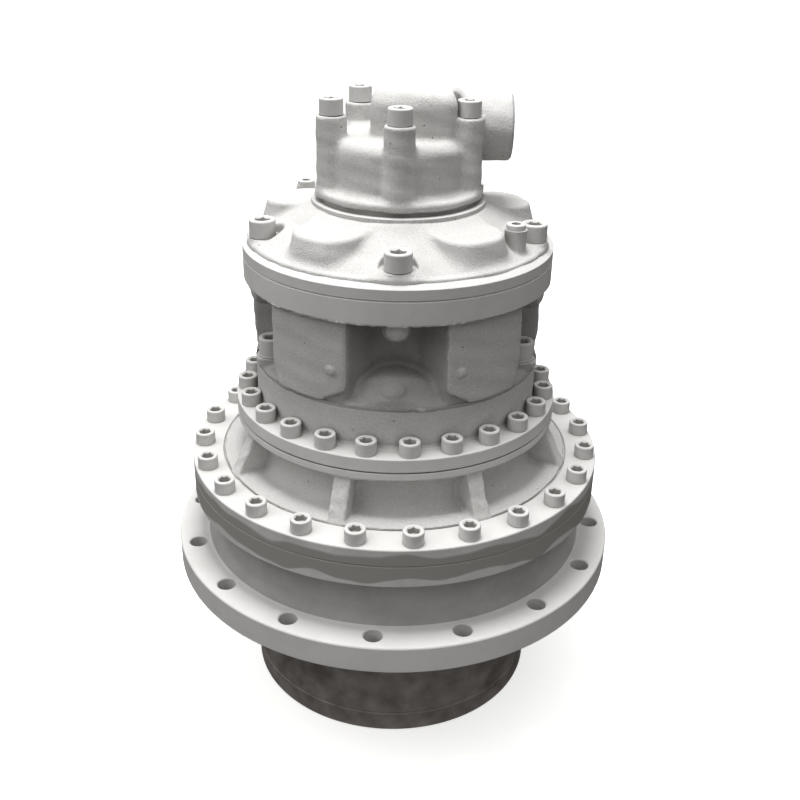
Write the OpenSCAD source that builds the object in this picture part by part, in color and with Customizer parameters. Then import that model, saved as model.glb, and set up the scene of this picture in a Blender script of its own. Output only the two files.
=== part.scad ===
// Vertical gear motor: a five-cylinder radial piston motor on a two-stage planetary gearbox.
// Millimetres, +Z up. The origin is at the bottom centre, on the face that the unit stands on.
// Angles round the axis are measured from the front (-Y) towards +X.

/* [Mounting flange and spigot] */
// Outer diameter of the mounting flange
flange_d = 563; // [540:1:600]
// Thickness of the mounting flange
flange_t = 34.5; // [22:0.5:40]
// Number of holes in the mounting flange
flange_holes = 16; // [8:2:20]
// Distance of the flange holes from the rim
flange_hole_edge = 21.5; // [16:0.5:25]
// Diameter of a flange hole
flange_hole_d = 22; // [14:0.5:26]
// Turn of the first flange hole
flange_turn = -4.25; // [-20:0.25:20]
// Diameter of the spigot below the flange
spigot_d = 374; // [366:1:390]
// Height of the spigot, end ring included
spigot_h = 177; // [172:1:220]
// Diameter of the neck above the flange
neck_d = 468; // [450:1:480]
// Height of the neck
neck_h = 63.5; // [60:0.5:90]
// Fillet at the foot of the neck
neck_fillet = 14; // [4:1:18]

/* [Gearbox casing] */
// Diameter of the ring joint flanges
ring_d = 514; // [508:1:540]
// Thickness of the lower ring flange
ring_lower_t = 27; // [24:1:40]
// Thickness of the upper ring flange
ring_upper_t = 21.5; // [14:0.5:24]
// Number of ring joint bolts
ring_bolts = 24; // [12:2:28]
// Distance of the ring joint bolts from the rim
ring_bolt_edge = 15.2; // [13:0.1:17]
// Turn of the first bolt, and of the casing
case_turn = 5.5; // [-15:0.25:15]
// Height of the raised land inside the ring bolts
land_h = 1.5; // [1:0.5:5]
// Diameter of the raised land
land_d = 433; // [420:1:445]
// Height of the gear case above the ring joint
case_h = 82.5; // [81:0.5:84]
// Diameter of the gear case wall
case_wall_d = 346; // [340:1:352]
// Cove at the foot of the gear case wall
case_cove = 17; // [6:1:20]
// Number of ribs on the gear case
ribs = 8; // [4:1:12]
// Thickness of a rib
rib_t = 20; // [8:1:24]
// Thickness of the plate on top of the gear case
case_plate_t = 12; // [8:0.5:16]

/* [Motor adapter] */
// Diameter of the adapter flange
adapter_d = 396; // [392:1:410]
// Thickness of the adapter flange
adapter_plate_t = 16.5; // [12:0.5:22]
// Height of the adapter
adapter_h = 61.5; // [58:0.5:90]
// Distance of the adapter bolts from the rim
adapter_bolt_edge = 14; // [13:0.5:15]
// Number of adapter bolts
adapter_bolts_n = 24; // [12:2:26]
// Diameter of the adapter wall at the top
adapter_wall_d = 344; // [342:1:346]
// Thread size of the ring and adapter bolts
joint_thread = 16; // [10:1:16]

/* [Motor] */
// Number of cylinders, lobes and valleys
cylinders = 5; // [5:1:5]
// Turn of the motor, at the middle of its front valley
motor_turn = 0.5; // [-10:0.25:10]
// Height of the motor body
motor_h = 131.5; // [131:0.5:140]
// Diameter over the lobes of the motor body
lobe_d = 350; // [346:1:356]
// Width of a lobe of the motor body
lobe_w = 108; // [102:1:112]
// Thickness of the flange on top of the motor body
motor_flange_t = 28; // [20:1:32]
// Diameter of the motor joint flange
motor_d = 364.6; // [362:0.2:376]
// Diameter of the core between the lobes
core_d = 236; // [226:1:250]
// Diameter of the crank chamber
chamber_d = 200; // [190:1:206]
// Thickness of the floor of the motor body
floor_t = 30; // [26:0.5:32]
// Throw of the crankshaft
crank_throw = 18; // [10:0.5:19]
// Thread size of the bolts that hold the motor to the adapter
mount_thread = 20; // [12:1:20]
// Distance of those bolts from the outside of the adapter wall
mount_bolt_edge = 16; // [14:0.5:18]

/* [Motor cover] */
// Height of the motor cover
cover_h = 63.5; // [60:0.5:76]
// Thickness of the rim of the cover
cover_rim_t = 13.5; // [8:0.5:18]
// Thread size of the cover bolts
cover_thread = 20; // [12:1:22]
// Distance of the cover bolts from the rim
cover_bolt_edge = 21.7; // [19:0.1:24]
// Diameter of the hub rim on the cover
hub_d = 202; // [196:1:212]
// Width of a lobe on the cover
cover_lobe_w = 74; // [60:1:84]
// Height of the lobes above the joint face of the cover
cover_lobe_h = 49; // [40:0.5:54]

/* [Oil distributor] */
// Diameter of the base ring of the distributor
dist_base_d = 194; // [190:1:200]
// Diameter of the drum
drum_d = 160; // [154:1:166]
// Height of the drum above the cover
drum_h = 71; // [60:1:74]
// Height of the bolt columns above the cover
column_h = 95; // [86:1:110]
// Diameter of a bolt column
column_d = 34; // [32:0.5:38]
// Distance of the columns' centres from the rim of the base
column_edge = 17.7; // [16:0.1:20]
// Thread size of the distributor bolts
dist_thread = 18; // [10:1:18]
// Height of the oil passage above the cover
passage_h = 124; // [116:1:132]
// Diameter of an oil port
port_d = 25; // [16:0.5:26]
// Diameter of a port boss
port_boss_d = 76; // [74:1:80]
// Reach of a port face from the axis
port_reach = 127; // [118:1:136]
// Long spacing of the port screws
port_long = 52.4; // [50:0.1:53]
// Short spacing of the port screws
port_short = 26.2; // [24:0.1:30]
// Diameter of a port screw hole
port_hole_d = 10; // [6:0.5:10]

/* [Gears] */
// Module of the first stage
input_module = 5; // [5:1:5]
// Teeth of the first sun
input_sun_z = 16; // [16:1:16]
// Teeth of a first planet
input_planet_z = 20; // [20:1:20]
// Face width of the first stage
input_face = 44; // [30:1:46]
// Module of the output stage
output_module = 8; // [8:1:8]
// Teeth of the output sun
output_sun_z = 15; // [15:1:15]
// Teeth of an output planet
output_planet_z = 15; // [15:1:15]
// Face width of the output stage
output_face = 62; // [40:1:64]
// Pressure angle of both stages
pressure_angle = 20; // [20:0.5:22]
// Play between meshing teeth, on the pitch circle
backlash = 0.4; // [0.3:0.05:0.8]

/* [Output shaft] */
// Diameter of the shaft in its bearings
shaft_d = 230; // [220:1:236]
// Root diameter of the internal spline
spline_root_d = 124; // [110:1:128]
// Crest diameter of the internal spline
spline_crest_d = 112; // [100:1:118]
// Number of internal spline teeth
spline_n = 24; // [12:1:30]
// Length of the internal spline
spline_l = 100; // [60:1:110]
// Diameter of the pilot bore at the mouth of the spline
pilot_bore_d = 128; // [126:1:136]
// Length of the pilot bore
pilot_bore_l = 14; // [8:1:20]

/* [Fits] */
// Radial clearance of a fit, bearing seat or running pin
fit = 0.05; // [0.02:0.01:0.08]
// Radial clearance of a bolt in its plain hole
bolt_play = 0.5; // [0.3:0.1:0.8]
// Chamfer on machined edges
chamfer = 1.5; // [0.5:0.5:2]

/* [Hidden] */
$fn = 96;

// Pitch circles of the bolts
flange_pcd = flange_d - 2 * flange_hole_edge;
ring_pcd = ring_d - 2 * ring_bolt_edge;
adapter_pcd = adapter_d - 2 * adapter_bolt_edge;
mount_pcd = adapter_wall_d - 2 * mount_bolt_edge;
cover_pcd = motor_d - 2 * cover_bolt_edge;
column_pcd = dist_base_d - 2 * column_edge;

// Heights of the joints, from the bottom up
end_ring_t = 27;
flange_z = spigot_h;
flange_top = flange_z + flange_t;
ring_z = flange_top + neck_h;
joint_z = ring_z + ring_lower_t;
ring_top = joint_z + ring_upper_t;
land_z = ring_top + land_h;
case_top = joint_z + case_h;
adapter_top = case_top + adapter_h;
motor_top = adapter_top + motor_h;
cover_top = motor_top + cover_h;
dist_gap = 5;
dist_base_t = 9;
column_foot = cover_top + dist_gap + 2;
column_seat = cover_top + column_h;

// Main bearings
race_r = 165;
race_track = 151;
inner_track = 129;
roller_r = (race_track - inner_track) / 2 - fit;
roller_pitch = (race_track + inner_track) / 2;
main_rollers = 24;
bearing_w = 30;
lower_bearing_z = 40;
upper_bearing_z = 140;
nut_t = 12;
shaft_r = shaft_d / 2;
shoulder_r = shaft_r + 13;
seal_r = 128;

// Output stage
output_planets = 4;
output_ring_z = output_sun_z + 2 * output_planet_z;
output_ring_r = output_ring_z * output_module / 2;
output_centre = (output_sun_z + output_planet_z) * output_module / 2;
output_ring_out = output_ring_r + 26;
stage_gap = 4;
output_web_r = 20;
output_pin_r = 18;
output_bush_r = 22;
output_plate_r = 150;
output_plate_t = 20;
output_drop = 104;
plate_z = joint_z - output_drop;
output_floor = plate_z + output_plate_t;
output_face_z = output_floor + stage_gap;
output_lid_z = output_floor + output_face + 2 * stage_gap;
output_lid_t = 12;
output_lid_top = output_lid_z + output_lid_t;
output_lid_bore = 68;

// Input stage
input_planets = 3;
input_ring_z = input_sun_z + 2 * input_planet_z;
input_ring_r = input_ring_z * input_module / 2;
input_centre = (input_sun_z + input_planet_z) * input_module / 2;
input_ring_out = input_ring_r + 18;
input_web_r = 16;
input_pin_r = 13;
input_bush_r = 17;
input_plate_r = 115;
input_plate_t = 14;
input_plate_z = output_lid_top + stage_gap;
input_floor = input_plate_z + input_plate_t;
input_face_z = input_floor + stage_gap;
input_lid_z = input_floor + input_face + 2 * stage_gap;
input_lid_t = 12;
input_lid_bore = 50;
washer_t = 2;
sun_shaft_r = 34;
sun_spline_n = 16;

// Shaft line of the motor
drive_r = 28;
drive_n = 12;
sleeve_r = 45;
drive_split = case_top + 28;
drive_l = 24;
journal_r = 35;
crank_race_r = 60;
crank_race_track = 52;
crank_inner_track = 42;
crank_roller_r = (crank_race_track - crank_inner_track) / 2 - fit;
crank_rollers = 12;
crank_bearing_w = 20;
motor_floor = adapter_top + floor_t;
lower_crank_z = motor_floor - crank_bearing_w;
upper_crank_z = motor_top + 4.5;
crank_top = upper_crank_z + crank_bearing_w;
cylinder_z = motor_floor + 42;
eccentric_h = 60;
eccentric_r = 52;
bush_r = 60;
sweep_r = bush_r + crank_throw;
foot_gap = 1;
cylinder_r = 38;
piston_r = 28;
trunnion_r = 14;
trunnion_pitch = 130;
trunnion_depth = 12;
cylinder_in = 100;
cylinder_out = 154;
pocket_w = 90;
pocket_out = 162;
seal_bore_r = 48;
motor_pilot_r = 95;
motor_pilot_h = 8;
crank_z = cylinder_z - eccentric_h / 2;
crank_end = cylinder_z + eccentric_h / 2;

// Rotary valve
valve_r = 42;
valve_z = cover_top + 9;
valve_top = cover_top + 63;
valve_grooves = [14, 34];
tongue_w = 10;
tongue_l = 28;
tongue_h = 12;
drive_pin_r = 15;

// Lobes and valleys of the motor
pitch = 360 / cylinders;
first_lobe = motor_turn + pitch / 2;
base_rim_t = 4;
base_slope_h = 26;
boss_r = 17;
cover_seat = 27.5;
mount_seat = 9;
gusset_r = 42;
gusset_h = 35;
pad_r = 13;
pad_h = 23;
washer_r = 18.5;
thin_washer = 3;
thick_washer = 4;
cover_step_r = motor_d / 2 - 6.3;
cover_step_h = 7;
cover_lobe_end = motor_d / 2 - 25.3;
cover_lobe_root = 80;
cover_hub_drop = 3;

base_z = adapter_top + base_rim_t + base_slope_h;
motor_under = motor_top - motor_flange_t;
mount_head_z = adapter_top + mount_seat + thin_washer + thick_washer;
mount_grip = 26;
drain_z = motor_top + 49.5;
drain_r = 7;
drain_collar_r = 10.5;
drain_collar_h = 6;
drain_pitch = 152;

// Screws, plugs and seals of the gearbox
end_screws = 12;
end_thread = 10;
end_screw_r = spigot_d / 2 - 11;
end_grip = 20;
ring_grip = 20;
end_seat = 11;
plate_under = case_top - case_plate_t;
joint_gap = 1.6;
adapter_land = case_top + adapter_plate_t;
cavity_r = 132;
plug_r = 11;
plug_collar_r = plug_r + 4;
plug_shank = 18;
plug_hole = 40;
plug_l = 60;
groove_w = 4;
groove_h = 3;
seal_joints = [
  [output_ring_out + 12, joint_z], [input_ring_out + 8, case_top],
  [motor_pilot_r + 12, adapter_top], [62, cover_top]
];

// Oil passage and ports
passage_x0 = -32;
passage_x1 = 72;
passage_y0 = -40;
passage_y1 = 36;
passage_round = 24;
port_a_z = cover_top + 77;
port_b_z = cover_top + 49;
port_a_y = 18;
port_bore_in = 60;
port_core_r = 16;
port_core_in = 4;
port_screw_depth = 18;
riser_r = 22;
riser_x = 10;
riser_y = 6;

cast = "#b3b0aa";
cast_dark = "#8b8782";
steel = "#9fa3a6";
bright = "#c3c6c8";
seal_black = "#33312f";
bronze = "#a98a55";

// Point of an arc of a profile
function on_arc(cx, cz, r, a) = [cx + r * cos(a), cz + r * sin(a)];
function arc(cx, cz, r, a0, a1, n = 6) = [for (i = [0:n]) on_arc(cx, cz, r, a0 + (a1 - a0) * i / n)];

// Copies round the axis, the first at an angle from the front
module around(n, r, first = 0) {
  for (i = [0:n - 1]) rotate(first - 90 + i * 360 / n) translate([r, 0, 0]) children();
}

module at(angle, r = 0) {
  rotate(angle - 90) translate([r, 0, 0]) children();
}

module revolve(points) {
  rotate_extrude(convexity = 6) polygon(points);
}

module ring(r_out, r_in, z0, z1) {
  revolve([[r_in, z0], [r_out, z0], [r_out, z1], [r_in, z1]]);
}

module disc(r, z0, z1) {
  translate([0, 0, z0]) cylinder(r = r, h = z1 - z0);
}

// Socket screw with its seat at z = 0 and its shank downwards
module cap_screw(thread, grip) {
  head_r = 0.75 * thread;
  soft = 0.06 * thread;
  difference() {
    revolve([
      [0, -grip], [thread / 2 - soft, -grip], [thread / 2, -grip + soft], [thread / 2, 0],
      [head_r, 0], [head_r, thread - soft], [head_r - soft, thread], [0, thread]
    ]);
    translate([0, 0, thread / 2]) rotate(30) cylinder(d = 0.95 * thread, h = thread, $fn = 6);
  }
}

// Screw plug with a collar and a hex socket, seated at z = 0
module socket_plug(r, shank, collar_r, collar_h) {
  difference() {
    revolve([
      [0, -shank], [r, -shank], [r, 0], [collar_r, 0], [collar_r, collar_h - 1], [collar_r - 1, collar_h],
      [0, collar_h]
    ]);
    translate([0, 0, collar_h - 5]) cylinder(r = collar_r * 0.55, h = 6, $fn = 6);
  }
}

// Involute function, in degrees
function inv(a) = tan(a) * 180 / PI - a;
function flank_angle(r, base) = r > base ? acos(base / r) : 0;

// Half of a tooth's angle at radius r
function half_tooth(z, m, r, thin) =
  90 / z + inv(pressure_angle) - inv(flank_angle(r, z * m / 2 * cos(pressure_angle)))
  - thin / (z * m / 2) * 180 / PI;

// Outline of a toothed wheel with a tooth on the x axis
module tooth_outline(z, m, tip, root, thin) {
  radii = [root, z * m / 2 - 0.25 * m, z * m / 2 + 0.3 * m, tip];
  last = len(radii) - 1;
  polygon([
    for (k = [0:z - 1])
      for (i = [0:2 * last + 1])
        let (
          up = i <= last,
          r = radii[up ? i : 2 * last + 1 - i],
          a = k * 360 / z + (up ? -1 : 1) * half_tooth(z, m, r, thin)
        ) [r * cos(a), r * sin(a)]
  ]);
}

module wheel(z, m, face) {
  linear_extrude(face, convexity = 8)
    tooth_outline(z, m, z * m / 2 + 0.8 * m, z * m / 2 - m, backlash / 4);
}

// Ring gear with a tooth space where its planet needs it
module internal_wheel(z, planet_z, m, od, face) {
  difference() {
    cylinder(r = od, h = face);
    translate([0, 0, -1]) rotate((planet_z - 1) * 180 / z) linear_extrude(face + 2, convexity = 8)
      tooth_outline(z, m, z * m / 2 + m, z * m / 2 - 0.8 * m, -backlash / 4);
  }
}

// Turn of a planet that stands at the angle a, in mesh with a sun tooth on the x axis
function planet_turn(sun_z, planet_z, a) = a + 180 - 180 / planet_z + a * sun_z / planet_z;

// Straight-sided spline, male or female
module spline_outline(crest, root, n, play = 0) {
  circle(r = root + play);
  for (i = [0:n - 1])
    rotate(i * 360 / n) translate([0, -PI * root / n / 2 - play])
      square([crest + play, PI * root / n + 2 * play]);
}

module output_housing() color(cast_dark) difference() {
  revolve(concat(
    [
      [race_r + fit, end_ring_t], [spigot_d / 2 - chamfer, end_ring_t],
      [spigot_d / 2, end_ring_t + chamfer], [spigot_d / 2, flange_z],
      [flange_d / 2 - chamfer, flange_z], [flange_d / 2, flange_z + chamfer],
      [flange_d / 2, flange_top - chamfer], [flange_d / 2 - chamfer, flange_top]
    ],
    arc(neck_d / 2 + neck_fillet, flange_top + neck_fillet, neck_fillet, 270, 180),
    arc(neck_d / 2 + 4, ring_z - 4, 4, 180, 90, 3),
    [
      [ring_d / 2 - chamfer, ring_z], [ring_d / 2, ring_z + chamfer],
      [ring_d / 2, joint_z - chamfer / 2], [ring_d / 2 - chamfer / 2, joint_z],
      [output_ring_out + fit, joint_z], [output_ring_out + fit, output_floor],
      [race_r + fit, output_floor], [race_r + fit, upper_bearing_z],
      [race_track + 4, upper_bearing_z], [race_track + 4, lower_bearing_z + bearing_w],
      [race_r + fit, lower_bearing_z + bearing_w]
    ]
  ));
  around(flange_holes, flange_pcd / 2, flange_turn) disc(flange_hole_d / 2, flange_z - 1, flange_top + 20);
  around(ring_bolts, ring_pcd / 2, case_turn)
    disc(joint_thread / 2 + fit, joint_z - ring_grip - 2, joint_z + 1);
  seal_groove(0);
  around(end_screws, end_screw_r, case_turn)
    disc(end_thread / 2 + fit, end_ring_t - 1, end_ring_t + end_grip + 3);
}

module end_ring() color(cast_dark) difference() {
  revolve([
    [seal_r + fit, 0], [spigot_d / 2 - 1 - chamfer, 0], [spigot_d / 2 - 1, chamfer],
    [spigot_d / 2 - 1, end_ring_t - chamfer], [spigot_d / 2 - 1 - chamfer, end_ring_t],
    [race_r - fit, end_ring_t], [race_r - fit, lower_bearing_z], [race_track + 2, lower_bearing_z],
    [race_track + 2, end_ring_t], [shaft_r + 6, end_ring_t], [shaft_r + 6, 17], [seal_r + fit, 17]
  ]);
  around(end_screws, end_screw_r, case_turn) {
    disc(0.75 * end_thread + bolt_play, -1, end_seat);
    disc(end_thread / 2 + bolt_play, 0, end_ring_t + 1);
  }
}

module end_ring_screws() color(steel)
  around(end_screws, end_screw_r, case_turn) translate([0, 0, end_seat]) mirror([0, 0, 1])
    cap_screw(end_thread, end_ring_t - end_seat + end_grip);

module output_seal() color(seal_black) revolve([
  [shaft_r + fit, 6], [shaft_r + 3, 3], [seal_r, 3], [seal_r, 17], [seal_r - 3, 17],
  [seal_r - 3, 7], [shaft_r + 4, 7], [shaft_r + 2, 13], [shaft_r + fit, 10]
]);

module main_bearing_outer_races() color(bright)
  for (z = [lower_bearing_z, upper_bearing_z]) ring(race_r, race_track, z, z + bearing_w);

module main_bearing_inner_races() color(bright)
  for (z = [lower_bearing_z, upper_bearing_z]) ring(inner_track, shaft_r + fit, z, z + bearing_w);

module main_bearing_rollers() color(bright)
  for (z = [lower_bearing_z, upper_bearing_z])
    around(main_rollers, roller_pitch) disc(roller_r, z + 3, z + bearing_w - 3);

module bearing_spacer() color(steel)
  ring(shaft_r + 8, shaft_r + fit, lower_bearing_z + bearing_w, upper_bearing_z);

module lock_nut() color(steel) difference() {
  ring(inner_track - 2, shaft_r + fit, lower_bearing_z - nut_t, lower_bearing_z);
  around(4, inner_track) translate([0, 0, lower_bearing_z - nut_t / 2])
    cube([12, 10, nut_t + 2], center = true);
}

module output_ring_gear() color(steel) translate([0, 0, output_floor])
  rotate(-90)
    internal_wheel(
      output_ring_z, output_planet_z, output_module, output_ring_out, output_face + 2 * stage_gap
    );

module output_shaft() color(steel) difference() {
  union() {
    revolve([
      [0, 4], [shaft_r - chamfer, 4], [shaft_r, 4 + chamfer], [shaft_r, upper_bearing_z + bearing_w],
      [shoulder_r, upper_bearing_z + bearing_w], [shoulder_r, plate_z], [output_plate_r, plate_z],
      [output_plate_r, output_floor], [0, output_floor]
    ]);
    around(output_planets, output_centre + 8, 45) disc(output_web_r, output_floor - 1, output_lid_z + 1);
    ring(output_plate_r, output_lid_bore, output_lid_z, output_lid_top);
  }
  disc(pilot_bore_d / 2, 3, 4 + pilot_bore_l);
  translate([0, 0, 4 + pilot_bore_l - 1]) linear_extrude(spline_l + 1, convexity = 6)
    spline_outline(spline_root_d / 2, spline_crest_d / 2, spline_n);
  disc(spline_root_d / 2 + 1, 4 + pilot_bore_l + spline_l, 4 + pilot_bore_l + spline_l + 12);
  around(output_planets, output_centre) disc(output_pin_r + fit, plate_z - 1, output_lid_top + 1);
}

module output_pins() color(bright)
  around(output_planets, output_centre) disc(output_pin_r, plate_z, output_lid_top);

module output_bushes() color(bronze)
  around(output_planets, output_centre) ring(output_bush_r, output_pin_r + fit, output_floor, output_lid_z);

module output_thrust_washers() color(bronze) {
  ring(30, 12, output_floor, output_face_z);
  ring(output_lid_bore + 32, output_lid_bore + 6, output_lid_top, input_plate_z);
}

// The planets stand at whole quarter turns from the first sun tooth
module output_planet(i) color(steel) {
  a = i * 360 / output_planets;
  rotate(-90 + a) translate([output_centre, 0, output_face_z])
    rotate(planet_turn(output_sun_z, output_planet_z, a) - a) difference() {
      wheel(output_planet_z, output_module, output_face);
      translate([0, 0, -1]) cylinder(r = output_bush_r + fit, h = output_face + 2);
    }
}

module output_planet_1() output_planet(0);
module output_planet_2() output_planet(1);
module output_planet_3() output_planet(2);
module output_planet_4() output_planet(3);

module output_sun() color(steel) rotate(-90) {
  translate([0, 0, output_face_z]) wheel(output_sun_z, output_module, output_face);
  disc(sun_shaft_r - 5, output_face_z + output_face - 1, input_plate_z + 1);
  translate([0, 0, input_plate_z]) linear_extrude(input_plate_t, convexity = 6)
    spline_outline(sun_shaft_r, sun_shaft_r - 4, sun_spline_n);
}

module input_carrier() color(steel) difference() {
  union() {
    disc(input_plate_r, input_plate_z, input_floor);
    around(input_planets, input_centre + 5, 60) disc(input_web_r, input_floor - 1, input_lid_z + 1);
    ring(input_plate_r, input_lid_bore, input_lid_z, input_lid_z + input_lid_t);
  }
  translate([0, 0, input_plate_z - 1]) rotate(-90) linear_extrude(input_plate_t + 2, convexity = 6)
    spline_outline(sun_shaft_r, sun_shaft_r - 4, sun_spline_n, fit);
  around(input_planets, input_centre)
    disc(input_pin_r + fit, input_plate_z - 1, input_lid_z + input_lid_t + 1);
}

module input_pins() color(bright)
  around(input_planets, input_centre) disc(input_pin_r, input_plate_z + washer_t, input_lid_z + input_lid_t);

module input_bushes() color(bronze)
  around(input_planets, input_centre) ring(input_bush_r, input_pin_r + fit, input_floor, input_lid_z);

module input_thrust_washer() color(bronze)
  ring(sun_shaft_r + 4, 14, input_floor, input_floor + washer_t);

module input_planet(i) color(steel) {
  a = i * 360 / input_planets;
  rotate(-90 + a) translate([input_centre, 0, input_face_z])
    rotate(planet_turn(input_sun_z, input_planet_z, a) - a) difference() {
      wheel(input_planet_z, input_module, input_face);
      translate([0, 0, -1]) cylinder(r = input_bush_r + fit, h = input_face + 2);
    }
}

module input_planet_1() input_planet(0);
module input_planet_2() input_planet(1);
module input_planet_3() input_planet(2);

module input_ring_gear() color(steel) translate([0, 0, input_floor])
  rotate(-90)
    internal_wheel(input_ring_z, input_planet_z, input_module, input_ring_out, input_face + 2 * stage_gap);

module input_sun() color(steel) rotate(-90) {
  translate([0, 0, input_floor + washer_t])
    wheel(input_sun_z, input_module, input_face + 2 * stage_gap - 2 * washer_t);
  disc(drive_r - 5, input_lid_z - washer_t - 1, drive_split - drive_l + 1);
  translate([0, 0, drive_split - drive_l]) linear_extrude(drive_l, convexity = 6)
    spline_outline(drive_r, drive_r - 4, drive_n);
}

module coupling_sleeve() color(steel) difference() {
  disc(sleeve_r, drive_split - drive_l, drive_split + drive_l);
  translate([0, 0, drive_split - drive_l - 1]) rotate(-90) linear_extrude(2 * drive_l + 2, convexity = 6)
    spline_outline(drive_r, drive_r - 4, drive_n, fit);
}

module gear_case() color(cast) difference() {
  union() {
    revolve(concat(
      [
        [output_ring_out - 24, output_lid_z], [output_ring_out - fit, output_lid_z],
        [output_ring_out - fit, joint_z],
        [ring_d / 2 - chamfer / 2, joint_z], [ring_d / 2, joint_z + chamfer / 2],
        [ring_d / 2, ring_top - chamfer], [ring_d / 2 - chamfer, ring_top],
        [land_d / 2 + land_h / 2, ring_top], [land_d / 2, land_z]
      ],
      arc(case_wall_d / 2 + case_cove, land_z + case_cove, case_cove, 270, 180, 8),
      arc(case_wall_d / 2 + 5, plate_under - 5, 5, 180, 90, 3),
      [
        [adapter_d / 2 - chamfer, plate_under], [adapter_d / 2, plate_under + chamfer],
        [adapter_d / 2, case_top - joint_gap], [adapter_d / 2 - 3, case_top - joint_gap],
        [adapter_d / 2 - 3, case_top], [input_ring_out + fit, case_top], [input_ring_out + fit, input_floor],
        [input_ring_out - 10, input_floor], [input_ring_out - 10, input_floor - 12],
        [output_ring_out - 24, joint_z - 4]
      ]
    ));
    around(ribs, 0, case_turn + 180 / ribs)
      rotate([90, 0, 0]) translate([0, 0, -rib_t / 2]) linear_extrude(rib_t) polygon([
        [case_wall_d / 2 - 4, land_z - 1], [land_d / 2 - 1, land_z - 1], [land_d / 2 - 1, land_z + 2],
        [adapter_d / 2 - 3, plate_under - 2], [adapter_d / 2 - 3, plate_under + 1],
        [case_wall_d / 2 - 4, plate_under + 1]
      ]);
  }
  around(ring_bolts, ring_pcd / 2, case_turn) disc(joint_thread / 2 + bolt_play, joint_z - 1, ring_top + 1);
  around(adapter_bolts_n, adapter_pcd / 2, case_turn)
    disc(joint_thread / 2 + fit, plate_under - 1, case_top + 1);
  seal_groove(1);
}

module case_bolts() color(cast)
  around(ring_bolts, ring_pcd / 2, case_turn) translate([0, 0, ring_top])
    cap_screw(joint_thread, ring_upper_t + ring_grip);

// The adapter carries the motor and centres on the input ring gear's bore
module motor_adapter() color(cast) difference() {
  revolve(concat(
    [
      [input_ring_out - 12, input_lid_z], [input_ring_out - fit, input_lid_z],
      [input_ring_out - fit, case_top],
      [adapter_d / 2 - chamfer / 2, case_top], [adapter_d / 2, case_top + chamfer / 2],
      [adapter_d / 2, adapter_land - chamfer], [adapter_d / 2 - chamfer, adapter_land]
    ],
    arc(adapter_wall_d / 2, adapter_land + 4, 4, 270, 180, 3),
    [
      [adapter_wall_d / 2 - 3, adapter_top - 12], [adapter_wall_d / 2, adapter_top - 8],
      [adapter_wall_d / 2, adapter_top - 1], [adapter_wall_d / 2 - 1, adapter_top],
      [motor_pilot_r + fit, adapter_top], [motor_pilot_r + fit, adapter_top - motor_pilot_h - 6],
      [cavity_r, adapter_top - 18], [cavity_r, adapter_land], [input_ring_out - 12, case_top]
    ]
  ));
  around(adapter_bolts_n, adapter_pcd / 2, case_turn)
    disc(joint_thread / 2 + bolt_play, case_top - 1, adapter_land + 1);
  mount_places() disc(mount_thread / 2 + fit, adapter_top - mount_grip - 2, adapter_top + 1);
  seal_groove(2);
  oil_plug_places() rotate([0, 90, 0]) translate([0, 0, -plug_hole]) cylinder(r = plug_r + fit, h = plug_l);
  oil_plug_places() rotate([0, 90, 0]) cylinder(r = plug_collar_r + 2, h = 10);
}

module mount_places() {
  for (i = [1:cylinders - 1]) at(motor_turn + i * pitch, mount_pcd / 2) children();
}

// Fill and level plugs, on the back of the adapter
module oil_plug_places() {
  for (a = [165, 195]) at(a) translate([adapter_wall_d / 2 - 6, 0, adapter_top - 22]) children();
}

module adapter_bolts() color(cast)
  around(adapter_bolts_n, adapter_pcd / 2, case_turn) translate([0, 0, adapter_land])
    cap_screw(joint_thread, adapter_plate_t + case_plate_t - 1);

module oil_plugs() color(steel)
  oil_plug_places() rotate([0, 90, 0]) socket_plug(plug_r, plug_shank, plug_collar_r, 5);

// Lobe of the motor body, cut to the outer cylinder
module motor_lobe(r, w, z0, z1) {
  intersection() {
    translate([0, -w / 2, z0]) cube([r + 10, w, z1 - z0]);
    disc(r, z0 - 1, z1 + 1);
  }
}

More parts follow.
